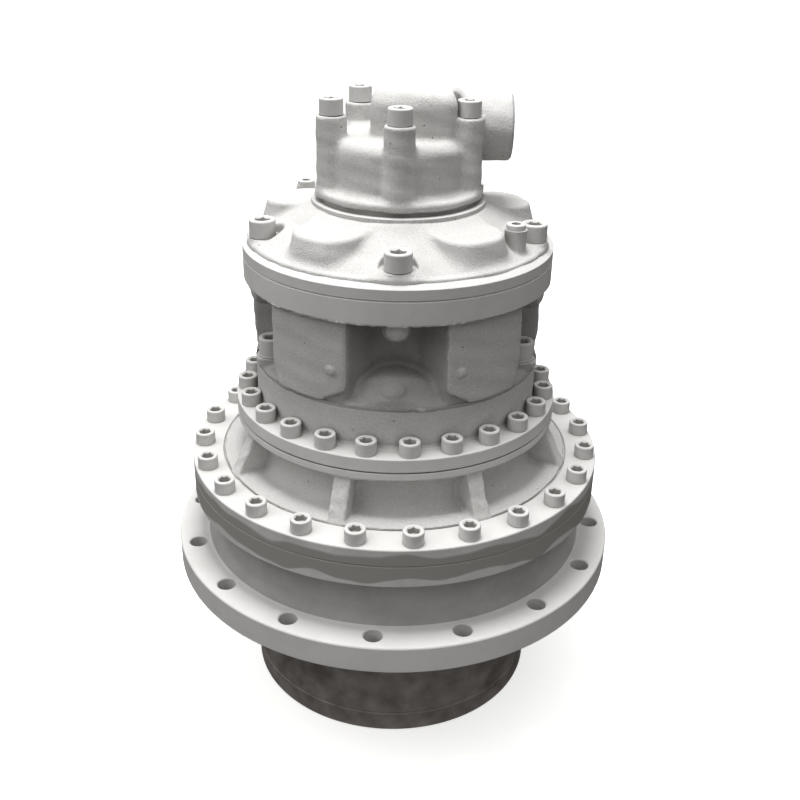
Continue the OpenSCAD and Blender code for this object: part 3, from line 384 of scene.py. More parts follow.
class Casting:
    """Distance field of a casting, in millimetres, on a grid: negative in the metal, positive outside.
    x, y, z, rho and theta are the places of its points, in plain and in round coordinates"""

    def __init__(self, low, high, cell):
        self.low, self.cell = np.array(low, float), cell
        self.x, self.y, self.z = np.meshgrid(
            *[np.arange(a, b + cell, cell) for a, b in zip(low, high)], indexing="ij", sparse=True)
        self.rho = np.hypot(self.x, self.y)
        self.theta = np.arctan2(self.y, self.x)
        self.field = None

    def add(self, shape, r=0):
        """Adds a field, with a fillet of radius r where it meets what is there"""
        shape = np.broadcast_to(shape, np.broadcast(self.x, self.y, self.z).shape)
        self.field = shape if self.field is None else fillet(self.field, shape, r)

    def cut(self, shape, r=0):
        """Takes a field away, with the new edges rounded to radius r"""
        self.field = rounded(self.field, -shape, r)

    def turned(self, outline):
        """Field of an outline of (radius, height) points, turned round the axis"""
        radii = np.arange(0, self.rho.max() + 1, 0.5)
        layers = [np.interp(self.rho[:, :, 0], radii, outline_distance(radii, z, outline))
                  for z in self.z.ravel()]
        return np.stack(layers, 2)

    def folded(self, turn, count):
        """Coordinates along and across the nearest of a number of equal directions"""
        half = math.pi / count
        t = np.mod(self.theta - math.radians(turn - 90) + half, 2 * half) - half
        return self.rho * np.cos(t), self.rho * np.sin(t)

    def near(self, angle, radius=0):
        """Coordinates out from and across a place at an angle from the front"""
        a = math.radians(angle - 90)
        return (self.x * math.cos(a) + self.y * math.sin(a) - radius,
                self.y * math.cos(a) - self.x * math.sin(a))

    def post(self, along, across, r, z0, z1, edge=0, taper=0):
        """Upright post, with r at the top, wider downwards by taper, and its top edge rounded"""
        side = np.hypot(along, across) - r - taper * (z1 - self.z)
        return np.maximum(rounded(side, self.z - z1, edge), z0 - self.z)

    def drop(self, along, across, r, z0, z1, edge):
        """Post that hangs down from z1, with its lower edge rounded"""
        return np.maximum(rounded(np.hypot(along, across) - r, z0 - self.z, edge), self.z - z1)

    def waves(self, amplitude, lengths=(23, 31, 47, 62), seed=3):
        """Slow waves of a rammed sand mould, or with short lengths its rough skin"""
        rng = np.random.default_rng(seed)
        total = 0
        for length in lengths:
            for _ in range(2):
                k = rng.normal(size=3)
                k *= 2 * math.pi / length / np.linalg.norm(k)
                phase = rng.uniform(0, 6.28)
                total = total + np.sin(k[0] * self.x + k[1] * self.y + k[2] * self.z + phase)
        return amplitude / 2 * total

    def object(self, name):
        """Closed quad mesh of the surface, by surface nets"""
        field = self.field
        inside = field < 0
        size = np.array(field.shape) - 1
        corners = [np.array((i, j, k)) for i in (0, 1) for j in (0, 1) for k in (0, 1)]
        count = sum(inside[i:size[0] + i, j:size[1] + j, k:size[2] + k].astype(np.int8)
                    for i, j, k in corners)
        cells = np.argwhere((count > 0) & (count < 8))
        values = [field[tuple((cells + corner).T)] for corner in corners]
        total, hits = np.zeros((len(cells), 3)), np.zeros(len(cells))
        for a, first in enumerate(corners):
            for b, second in enumerate(corners):
                if b > a and abs(second - first).sum() == 1:
                    crossed = (values[a] < 0) != (values[b] < 0)
                    t = np.where(crossed, values[a] / np.where(crossed, values[a] - values[b], 1), 0)
                    total += np.where(crossed[:, None], first + t[:, None] * (second - first), 0)
                    hits += crossed
        points = (cells + total / hits[:, None]) * self.cell + self.low
        number = np.zeros(size, np.int64)
        number[tuple(cells.T)] = np.arange(len(cells))
        quads = []
        for axis in range(3):
            one, two = np.eye(3, dtype=int)[(axis + 1) % 3], np.eye(3, dtype=int)[(axis + 2) % 3]
            start = np.take(inside, range(size[axis]), axis)
            edges = np.argwhere(start != np.take(inside, range(1, size[axis] + 1), axis))
            quad = np.stack([number[tuple((edges - d).T)] for d in (one + two, two, 0 * one, one)], 1)
            out = start[tuple(edges.T)]
            quads += [quad[out], quad[~out][:, ::-1]]
        mesh = bpy.data.meshes.new(name)
        mesh.from_pydata((points * MM).tolist(), [], np.concatenate(quads).tolist())
        return link(name, mesh)


# ------------------------------------------------------------------- materials

def material(name):
    """Empty material with a shader and its coordinates"""
    made = bpy.data.materials.new(name)
    made.use_nodes = True
    tree = made.node_tree
    tree.nodes.clear()
    shader = add(tree, "ShaderNodeBsdfPrincipled")
    add(tree, "ShaderNodeOutputMaterial", {"Surface": shader.outputs[0]})
    place = add(tree, "ShaderNodeTexCoord").outputs["Object"]
    return made, tree, shader, place


def four(rgb):
    """Colour with its alpha"""
    return (*rgb, 1)


def emboss(tree, shader, height, depth):
    """Raises the surface by a height node's value, depth millimetres at most"""
    bump = add(tree, "ShaderNodeBump", {
        "Height": height.outputs[0], "Distance": depth * MM, "Strength": 1.0})
    tree.links.new(bump.outputs[0], shader.inputs["Normal"])


def primer(name, tone, stain, grime_and_shade, grain, depth, fleck, cloud, band=None):
    """Matt primer. grain and depth are the size and height of the sand print in millimetres, fleck is how
    much each grain differs in tone, cloud how strongly dust has stained the face, and band the heights
    between which oil has stained it all round"""
    made, tree, shader, place = material(name)
    dust = add(tree, "ShaderNodeTexNoise", {"Vector": place, "Scale": 1 / (48 * MM), "Detail": 4.0,
                                            "Roughness": 0.6})
    patch = add(tree, "ShaderNodeMapRange", {"Value": dust.outputs[0], 1: 0.42, 2: 0.72, 3: 0.0, 4: cloud})
    share = patch.outputs[0]
    if band:
        up = add(tree, "ShaderNodeSeparateXYZ", {0: place})
        run = add(tree, "ShaderNodeTexNoise", {"Vector": place, "Scale": 1 / (70 * MM), "Detail": 1.0})
        edge = add(tree, "ShaderNodeMath", {0: run.outputs[0], 1: 30 * MM, 2: up.outputs["Z"]},
                   operation="MULTIPLY_ADD")
        low, high = ((h + 15) * MM for h in band)
        above = add(tree, "ShaderNodeMapRange", {"Value": edge.outputs[0], 1: low - MM, 2: low + MM})
        below = add(tree, "ShaderNodeMapRange", {
            "Value": edge.outputs[0], 1: high + 2 * MM, 2: high - 2 * MM, 3: 0.0, 4: 0.8})
        oil = add(tree, "ShaderNodeMath", {0: above.outputs[0], 1: below.outputs[0]}, operation="MULTIPLY")
        share = add(tree, "ShaderNodeMath", {0: oil.outputs[0], 1: share}, operation="MAXIMUM").outputs[0]
    grit = add(tree, "ShaderNodeTexNoise", {"Vector": place, "Scale": 1 / (grain * MM), "Detail": 2.0,
                                            "Roughness": 0.6})
    even = add(tree, "ShaderNodeMapRange", {"Value": grit.outputs[0], 1: 0.32, 2: 0.68})
    dark, light = (tuple(min(1, k * t) for t in tone) for k in (1 - fleck, 1 + fleck))
    sanded = add(tree, "ShaderNodeMix", {"Factor": even.outputs[0], 6: four(dark), 7: four(light)},
                 data_type="RGBA")
    base = add(tree, "ShaderNodeMix", {"Factor": share, 6: sanded.outputs[2], 7: four(stain)},
               data_type="RGBA")
    # Pits where a sand grain has stayed in the skin: one spot in twelve cells of 9 mm
    cells = add(tree, "ShaderNodeTexVoronoi", {"Vector": place, "Scale": 1 / (9 * MM)})
    spot = add(tree, "ShaderNodeMapRange", {"Value": cells.outputs["Distance"], 1: 0.13, 2: 0.07})
    chance = add(tree, "ShaderNodeSeparateColor", {0: cells.outputs["Color"]})
    some = add(tree, "ShaderNodeMath", {0: chance.outputs[0], 1: 0.92}, operation="GREATER_THAN")
    pit = add(tree, "ShaderNodeMath", {0: spot.outputs[0], 1: some.outputs[0]}, operation="MULTIPLY")
    # Painted shade: ambient occlusion darkens corners, creases and the feet of parts towards the same dark
    # colour as the pits, where shade falls
    corner = add(tree, "ShaderNodeAmbientOcclusion", {"Distance": 18 * MM}, samples=6)
    painted_corner_shade = add(tree, "ShaderNodeMapRange", {
        "Value": corner.outputs["AO"], 1: 0.2, 2: 0.75, 3: 0.65, 4: 0.0})
    pits_and_painted_shade = add(tree, "ShaderNodeMath", {0: pit.outputs[0], 1: min(1, 9 * fleck), 2: painted_corner_shade.outputs[0]},
               operation="MULTIPLY_ADD", use_clamp=True)
    pitted_and_shaded_colour = add(tree, "ShaderNodeMix", {"Factor": pits_and_painted_shade.outputs[0], 6: base.outputs[2], 7: four(grime_and_shade)},
                data_type="RGBA")
    tree.links.new(pitted_and_shaded_colour.outputs[2], shader.inputs["Base Color"])
    dull = add(tree, "ShaderNodeMapRange", {"Value": grit.outputs[0], 3: 0.66, 4: 0.86})
    tree.links.new(dull.outputs[0], shader.inputs["Roughness"])
    shader.inputs["IOR"].default_value = 1.45
    lump = add(tree, "ShaderNodeTexNoise", {
        "Vector": place, "Scale": 1 / (3.2 * grain * MM), "Detail": 2.0})
    height = add(tree, "ShaderNodeMath", {0: lump.outputs[0], 1: 0.5, 2: grit.outputs[0]},
                 operation="MULTIPLY_ADD")
    emboss(tree, shader, height, depth)
    return made


def bare_metal(name, tone, low, high, spacing, depth, metallic=1.0, stain=None):
    """Cut or ground metal. low and high are its roughness, spacing and depth those of the tool marks round
    the axis in millimetres, and stain is the colour of its darker clouds"""
    made, tree, shader, place = material(name)
    flat = add(tree, "ShaderNodeMapping", {"Vector": place, "Scale": (1, 1, 8)})
    marks = add(tree, "ShaderNodeTexNoise", {"Vector": flat.outputs[0], "Scale": 1 / (spacing * MM),
                                             "Detail": 3.0})
    cloud = add(tree, "ShaderNodeTexNoise", {"Vector": place, "Scale": 1 / (30 * MM), "Detail": 3.0})
    dull = add(tree, "ShaderNodeMapRange", {"Value": cloud.outputs[0], 1: 0.3, 2: 0.7, 3: low, 4: high})
    tree.links.new(dull.outputs[0], shader.inputs["Roughness"])
    share = add(tree, "ShaderNodeMapRange", {"Value": cloud.outputs[0], 1: 0.35, 2: 0.7, 3: 0.0, 4: 1.0})
    tint = add(tree, "ShaderNodeMix", {
        "Factor": share.outputs[0], 6: four(tone), 7: four(stain or tuple(0.8 * c for c in tone))},
        data_type="RGBA")
    tree.links.new(tint.outputs[2], shader.inputs["Base Color"])
    shader.inputs["Metallic"].default_value = metallic
    emboss(tree, shader, marks, depth)
    return made


def finishes():
    """Makes every finish once, and returns them by name"""
    if "cast_primer" in bpy.data.materials:
        return bpy.data.materials
    f = settings().finish
    stain, grime_and_shade = tuple(f.primer_dark), tuple(f.grime_and_shade)

    def toned(share):
        """The primer's colour, darker or lighter by a share"""
        return tuple(min(1, share * c) for c in f.primer)

    # Primer over sand-cast iron: the sand prints a coarse matt grain that catches the light from above.
    # The real grain is under a millimetre, and is drawn coarser so that it shows
    primer("cast_primer", toned(0.93), stain, grime_and_shade, grain=1.6, depth=0.8, fleck=0.12, cloud=0.1)
    # Primer over turned iron: smooth and flat, with only the roll of the spray
    primer("rim_primer", toned(1.1), stain, grime_and_shade, grain=1.6, depth=0.2, fleck=0.03, cloud=0.14)
    # Primer on the neck: the same paint, dulled and browned by oil and dust, and darker still as painted
    # shade under the ring
    primer("neck_primer", toned(0.6), stain, grime_and_shade, grain=1.8, depth=0.3, fleck=0.05, cloud=0.5)
    # Primer between the motor's lobes: sand-cast as on the lobes, with dust stains, and made as dark as on
    # the neck to paint the shade in the recess under the flange
    primer("valley_primer", toned(0.62), stain, grime_and_shade, grain=1.6, depth=0.8, fleck=0.1, cloud=0.35)
    # Primer on the rims of the ring joint: oil has stained it all round, with a ragged edge
    primer("ring_primer", toned(1), stain, grime_and_shade, grain=1.6, depth=0.25, fleck=0.04, cloud=0.3,
           band=(281, 313))
    # Primer over steel screws: smooth, a little paler where the brush left it thick
    primer("screw_primer", toned(1.05), stain, grime_and_shade, grain=1.4, depth=0.25, fleck=0.03, cloud=0.12)
    # Bare grey iron, turned and oiled: dull, half metallic, with darker blooms
    bare_metal("spigot_iron", tuple(f.iron), low=0.45, high=0.7, spacing=2.5, depth=0.2, metallic=0.15,
               stain=tuple(f.iron_stain))
    # Steel cut on the lathe or hobbed: fine tool marks and a soft sheen
    bare_metal("machined_steel", tuple(f.steel), low=0.28, high=0.42, spacing=1.2, depth=0.04)
    # Hardened bearing steel, ground: bright, with almost no marks
    bare_metal("bearing_steel", tuple(f.bearing), low=0.12, high=0.22, spacing=0.8, depth=0.01)
    # Cast bearing bronze, turned: warm, slightly duller than the steel
    bare_metal("bearing_bronze", tuple(f.bronze), low=0.25, high=0.4, spacing=1.2, depth=0.03)
    # Moulded nitrile rubber: black, soft sheen, no grain
    bare_metal("nitrile_rubber", tuple(f.rubber), low=0.5, high=0.62, spacing=3, depth=0.02,
               metallic=0.0)
    return bpy.data.materials


def paint(item, names, rule=None, sharp=35):
    """Gives an object its finishes, shades it smooth with sharp edges, and picks a finish for each face.
    rule takes the centres in millimetres and the normals, and returns the number of the finish"""
    mesh = item.data
    mesh.materials.clear()
    for name in names:
        mesh.materials.append(finishes()[name])
    index = np.zeros(len(mesh.polygons), np.int32)
    if rule:
        centre, normal = np.zeros(3 * len(index)), np.zeros(3 * len(index))
        mesh.polygons.foreach_get("center", centre)
        mesh.polygons.foreach_get("normal", normal)
        index[:] = rule(centre.reshape(-1, 3) / MM, normal.reshape(-1, 3))
    mesh.polygons.foreach_set("material_index", index)
    mesh.shade_smooth()
    mesh.set_sharp_from_angle(angle=math.radians(sharp))
    shade = item.modifiers.new("Shade", "WEIGHTED_NORMAL")
    shade.keep_sharp = True
    return evaluate(item)


def hand_over(item, slot, *nodes):
    """Says what a piece rides on and what it stands for; slot, where its finish comes from, is not used"""
    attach(item, "casing")
    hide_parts(*nodes)


def radius_of(centre):
    """Distances of points from the axis"""
    return np.hypot(centre[:, 0], centre[:, 1])


# -------------------------------------------------------------------- operators

class GEARMOTOR_OT_output_housing(bpy.types.Operator):
    """Make the output housing with its mounting flange, spigot and neck"""

    bl_idname = "gear_motor.output_housing"
    bl_label = "Output housing"

    def execute(self, context):
        soft, brow = 1.5, 3
        race = RACE_R + FIT
        body = revolve("output_housing_casting", [
            (race, SPIGOT_FOOT), (SPIGOT_R - 2.5, SPIGOT_FOOT), (SPIGOT_R, SPIGOT_FOOT + 3),
            (SPIGOT_R, FLANGE_Z - 3),
            *arc(SPIGOT_R + 3, FLANGE_Z - 3, 3, 180, 90, 4),
            *arc(FLANGE_R - soft, FLANGE_Z + soft, soft, 270, 360, 4),
            *arc(FLANGE_R - brow, FLANGE_TOP - brow, brow, 0, 90, 6),
            *arc(NECK_R + 14, FLANGE_TOP + 14, 14, 270, 180, 10),
            *arc(NECK_R + 6, RING_Z - 6, 6, 180, 90, 6),
            *arc(RING_R - soft, RING_Z + soft, soft, 270, 360, 4),
            (RING_R, JOINT_Z - 1.2), (RING_R - 1.2, JOINT_Z),
            (OUTPUT_RING_R + FIT, JOINT_Z), (OUTPUT_RING_R + FIT, OUTPUT_FLOOR), (race, OUTPUT_FLOOR),
            (race, SHOULDER_TOP), (SHOULDER_R, SHOULDER_TOP), (SHOULDER_R, SHOULDER_Z), (race, SHOULDER_Z)])
        combine(body, [
            holes([(0, 170), (13.5, 170), (13.5, FLANGE_Z), (11, FLANGE_Z + 2.5), (11, FLANGE_TOP - 1.2),
                   (13.4, FLANGE_TOP + 1.2), (0, FLANGE_TOP + 1.2)], FLANGE_PITCH, FLANGE_TURN, FLANGE_HOLES),
            holes(column(8 + FIT, 280, JOINT_Z + 1), RING_PITCH, CASE_TURN, RING_SCREWS),
            holes(column(5 + FIT, SPIGOT_FOOT - 1, 50), END_PITCH, CASE_TURN, END_SCREWS)])

        def face(centre, normal):
            r, z = radius_of(centre), centre[:, 2]
            spigot = (z < FLANGE_Z - 1) | (r < 200)
            ring = (z > RING_Z + 0.1) & (r > RING_R - 2)
            # The neck under the ring gets primer darkened for oil and dust, and darker still as painted shade
            neck = (z > FLANGE_TOP + 1) & ~spigot & ~ring
            return np.where(spigot, 1, np.where(neck, 2, np.where(ring, 3, 0)))
        paint(body, ["rim_primer", "spigot_iron", "neck_primer", "ring_primer"], face)
        hand_over(body, "dark_primer", "output_housing")
        return {"FINISHED"}


class GEARMOTOR_OT_gear_case(bpy.types.Operator):
    """Make the ribbed gear case between the ring joint and the adapter"""

    bl_idname = "gear_motor.gear_case"
    bl_label = "Gear case"

    def execute(self, context):
        s = settings().shape
        under = CASE_TOP - CASE_PLATE
        c = Casting((-224, -224, 312), (224, 224, 384), s.cell / MM)
        c.add(c.turned([
            (140, 316), (LAND_R, 316), (LAND_R, LAND_Z - 1), (LAND_R - 1.5, LAND_Z),
            *arc(CASE_WALL_R + CASE_COVE, LAND_Z + CASE_COVE, CASE_COVE, 270, 180),
            *arc(CASE_WALL_R + 6, under - 6, 6, 180, 90, 5),
            (ADAPTER_R - 2, under), (ADAPTER_R - 0.6, under + 1.5), (ADAPTER_R - 0.6, 380), (140, 380)]))
        # The ribs slope from the land to the plate, and their edges are as rough as their pattern left them
        along, across = c.folded(CASE_TURN + 180 / RIBS, RIBS)
        slope_out, slope_up, edge = 0.905, 0.426, 1.2
        slope = (along - LAND_R + 1) * slope_out + (c.z - LAND_Z - 2) * slope_up
        rib = rounded(slope, np.abs(across) - RIB_T / 2, edge) + c.waves(0.3, (7, 9, 12), 5)
        rib = np.maximum(rib, np.maximum(318 - c.z, c.z - 376))
        c.add(np.maximum(rib, 150 - along), s.rib_fillet / MM)
        c.field = c.field + c.waves(s.waviness / MM)
        body = c.object("gear_case_casting")
        soft, brow, groove = 1.2, 2, RING_TOP - 2
        step_r, step = ADAPTER_R - 3, CASE_TOP - 1.6
        lip_r, seat_r = OUTPUT_RING_R - FIT, INPUT_RING_R + FIT
        combine(body, [
            revolve("ring flange", [
                (INNER_R, JOINT_Z), (RING_R - soft, JOINT_Z), (RING_R, JOINT_Z + soft),
                *arc(RING_R - brow, RING_TOP - brow, brow, 0, 90, 5), (LAND_R + 3, RING_TOP),
                (LAND_R + 2, groove), (LAND_R - 3, groove), (LAND_R - 3, RING_TOP), (INNER_R, RING_TOP)]),
            revolve("plate rim", [
                (INNER_R, under + 3), (ADAPTER_R, under + 3), (ADAPTER_R, CASE_TOP - 2.2),
                (ADAPTER_R - 0.6, step), (step_r, step), (step_r, CASE_TOP), (INNER_R, CASE_TOP)]),
            revolve("centring ring", [
                (INNER_R, CASE_LIP_Z), (lip_r, CASE_LIP_Z), (lip_r, 304), (INNER_R, 304)])], "UNION")
        combine(body, [
            revolve("bore", [
                (0, 290), (CASE_LIP_R, 290), (CASE_LIP_R, 298), (CASE_BORE_R, 310),
                (CASE_BORE_R, INPUT_FLOOR), (seat_r, INPUT_FLOOR), (seat_r, 390), (0, 390)]),
            holes(column(8.5, 300, 326), RING_PITCH, CASE_TURN, RING_SCREWS),
            holes(column(8 + FIT, 370, 386), ADAPTER_PITCH, CASE_TURN, RING_SCREWS)])

        def face(centre, normal):
            r, z = radius_of(centre), centre[:, 2]
            side = (r > RING_R - 1) & (z < RING_TOP)
            rim = (r > LAND_R + 1.5) | (z > under + 3.5)
            return np.where(side, 2, np.where(rim, 1, 0))
        paint(body, ["cast_primer", "rim_primer", "ring_primer"], face)
        hand_over(body, "primer", "gear_case")
        return {"FINISHED"}


class GEARMOTOR_OT_motor_adapter(bpy.types.Operator):
    """Make the adapter that carries the motor"""

    bl_idname = "gear_motor.motor_adapter"
    bl_label = "Motor adapter"

    def execute(self, context):
        soft, inside = 1.5, 132
        body = revolve("motor_adapter_casting", [
            (146, INPUT_LID), (INPUT_RING_R - FIT, INPUT_LID), (INPUT_RING_R - FIT, CASE_TOP),
            (ADAPTER_R - 0.8, CASE_TOP), (ADAPTER_R, CASE_TOP + 0.8),
            *arc(ADAPTER_R - soft, ADAPTER_LAND - soft, soft, 0, 90, 4),
            *arc(ADAPTER_WALL_R + 5, ADAPTER_LAND + 5, 5, 270, 180, 6),
            (ADAPTER_WALL_R, ADAPTER_TOP - 0.6), (ADAPTER_WALL_R - 0.6, ADAPTER_TOP),
            (PILOT_R + FIT, ADAPTER_TOP), (PILOT_R + FIT, ADAPTER_TOP - 14), (inside, ADAPTER_TOP - 18),
            (inside, ADAPTER_LAND), (146, CASE_TOP)])
        combine(body, [
            holes(column(8.5, 383, ADAPTER_LAND + 1), ADAPTER_PITCH, CASE_TURN, RING_SCREWS),
            holes(column(10 + FIT, 418, ADAPTER_TOP + 1), MOUNT_PITCH, MOTOR_TURN + LOBE_STEP, 4, LOBE_STEP)])
        for turn in OIL_TURNS:
            for outline in (column(11 + FIT, -40, 1), column(17, 0, 10)):
                tool = revolve("plug hole", outline, 48)
                combine(body, [shift(tool, turn, OIL_R, OIL_Z, LYING)])
        paint(body, ["rim_primer", "cast_primer"],
              lambda centre, normal: np.where(radius_of(centre) < ADAPTER_WALL_R + 2, 1, 0))
        hand_over(body, "primer", "motor_adapter")
        return {"FINISHED"}


class GEARMOTOR_OT_motor_housing(bpy.types.Operator):
    """Make the motor body with its five lobes, its bosses and the arched foot at the front"""

    bl_idname = "gear_motor.motor_housing"
    bl_label = "Motor housing"

    def execute(self, context):
        s = settings().shape
        c = Casting((-188, -188, 442), (188, 188, 560), s.cell / MM)
        c.add(c.turned([
            (0, 448), (ADAPTER_WALL_R - 0.4, 448), (ADAPTER_WALL_R - 0.4, 450), (CORE_R, 472.5),
            (0, 472.5)]))
        # Five lobes round the core, whose corners are rounder at the foot
        along, across = c.folded(LOBE_TURN, CYLINDERS)
        edge = 6 + 10 * np.clip((474 - c.z) / 20, 0, 1)
        lobe = rounded(np.abs(across) - LOBE_W / 2, c.rho - LOBE_R, edge)
        barrel = fillet(c.rho - CORE_R, np.maximum(lobe, 60 - along), s.lobe_fillet / MM)
        c.add(np.maximum(barrel, np.maximum(449 - c.z, c.z - 553)), 3)
        c.add(c.turned([
            (0, MOTOR_UNDER), (MOTOR_R - 0.3, MOTOR_UNDER), (MOTOR_R - 0.3, 551), (MOTOR_R - 2, 552.5),
            (MOTOR_R - 2, 556), (0, 556)]) + c.waves(0.25, (5, 7, 9), 11), 2.5)
        # A boss under each cover screw, and a pad under each mounting screw
        out, side = c.folded(MOTOR_TURN, CYLINDERS)
        c.add(c.drop(out - COVER_PITCH, side, BOSS_R, MOTOR_UNDER - 24, 553, BOSS_R - 1), 2.5)
        for k in range(1, CYLINDERS):
            out, side = c.near(MOTOR_TURN + LOBE_STEP * k, MOUNT_PITCH)
            pad = rounded(c.post(out, side, WASHER_R + 3, 447, 460), c.rho - ADAPTER_WALL_R - 1, 2)
            c.add(pad, 3)
        # The arched foot between the front lobes: it is cut out of their corners, and its face slopes up
        # to the core with a low ridge in the middle and a flat oval spot on it
        out, side = c.near(MOTOR_TURN)
        crest = 450 + ARCH_H * np.maximum(0, 1 - (side / ARCH_HALF) ** 2)
        wall = c.rho - ADAPTER_WALL_R + 0.4
        c.cut(np.maximum(np.maximum(-wall, c.z - crest), 60 - out), 1.5)
        ridge_h, ridge_half, spot_h, spot_w, spot_l = 2.5, 38, 2.5, 14, 9
        ridge = ridge_h * np.maximum(0, 1 - np.abs(side) / ridge_half)
        face = (c.rho - ARCH_R) * 0.8 + (c.z - crest) * 0.6 - ridge
        spot = np.hypot((side + 3) / spot_w, ((c.rho - 163) * 0.6 - (c.z - 468) * 0.8) / spot_l)
        face = face - spot_h * np.clip(5.5 - 5 * spot, 0, 1)
        arch = rounded(rounded(face, c.z - crest, 3), wall, 1.5)
        c.add(np.maximum(arch, np.maximum(447 - c.z, 60 - out)), 5)
        # A small pip on each front lobe
        for turn in (-24, 24):
            out, side = c.near(MOTOR_TURN + turn)
            pip = np.hypot(side, c.z - 489) - 5
            c.add(np.maximum(rounded(pip, out - LOBE_R - 2.6, 1.2), 160 - out), 1)
        c.field = c.field + c.waves(1.2 * s.waviness / MM)
        body = c.object("motor_housing_casting")
        combine(body, [
            revolve("foot", [(0, ADAPTER_TOP), (ADAPTER_WALL_R - 0.6, ADAPTER_TOP),
                             (ADAPTER_WALL_R, ADAPTER_TOP + 0.6), (ADAPTER_WALL_R, 450), (0, 450)]),
            revolve("pilot", column(PILOT_R - FIT, 438, 447)),
            revolve("flange rim", [
                (0, 551), (MOTOR_R - 0.4, 551), (MOTOR_R, 551.6), (MOTOR_R, MOTOR_TOP - 1.2),
                (MOTOR_R - 1.2, MOTOR_TOP), (0, MOTOR_TOP)])], "UNION")
        reach, half = 162, 45
        end = math.degrees(math.asin(half / reach))
        shaft_r, race_r = CRANK_SEAT_R + FIT, CRANK_BEARING_R + FIT
        combine(body, [revolve("bore", [
            (0, 437), (shaft_r, 437), (shaft_r, 456), (race_r, 456), (race_r, MOTOR_FLOOR),
            (CHAMBER_R, MOTOR_FLOOR), (CHAMBER_R, MOTOR_TOP + 1), (0, MOTOR_TOP + 1)])])
        outline = [(40, half), (40, -half), *arc(0, 0, reach, -end, end, 24)]
        combine(body, [
            shift(prism("pocket", outline, MOTOR_FLOOR, MOTOR_TOP + 1), LOBE_TURN + LOBE_STEP * k)
            for k in range(CYLINDERS)])
        combine(body, [
            holes(column(DOWEL_R, 464, MOTOR_FLOOR + 1), DOWEL_PITCH, LOBE_TURN, CYLINDERS),
            holes(column(10 + FIT, 541.5, MOTOR_TOP + 1.5), COVER_PITCH, MOTOR_TURN, CYLINDERS),
            holes(stepped(10.5, MOUNT_SEAT, WASHER_R + 2, 445, 490), MOUNT_PITCH, MOTOR_TURN + LOBE_STEP, 4,
                  LOBE_STEP, 48)])

        def finish_of(centre, normal):
            # Faces in the recess between the lobes, under the flange, get the primer made darker as painted
            # shade
            valley = (radius_of(centre) < LOBE_R - 2) & (centre[:, 2] < MOTOR_UNDER - 2)
            return np.where(centre[:, 2] > 553, 1, np.where(valley, 2, 0))
        paint(body, ["cast_primer", "rim_primer", "valley_primer"], finish_of)
        hand_over(body, "primer", "motor_housing")
        return {"FINISHED"}


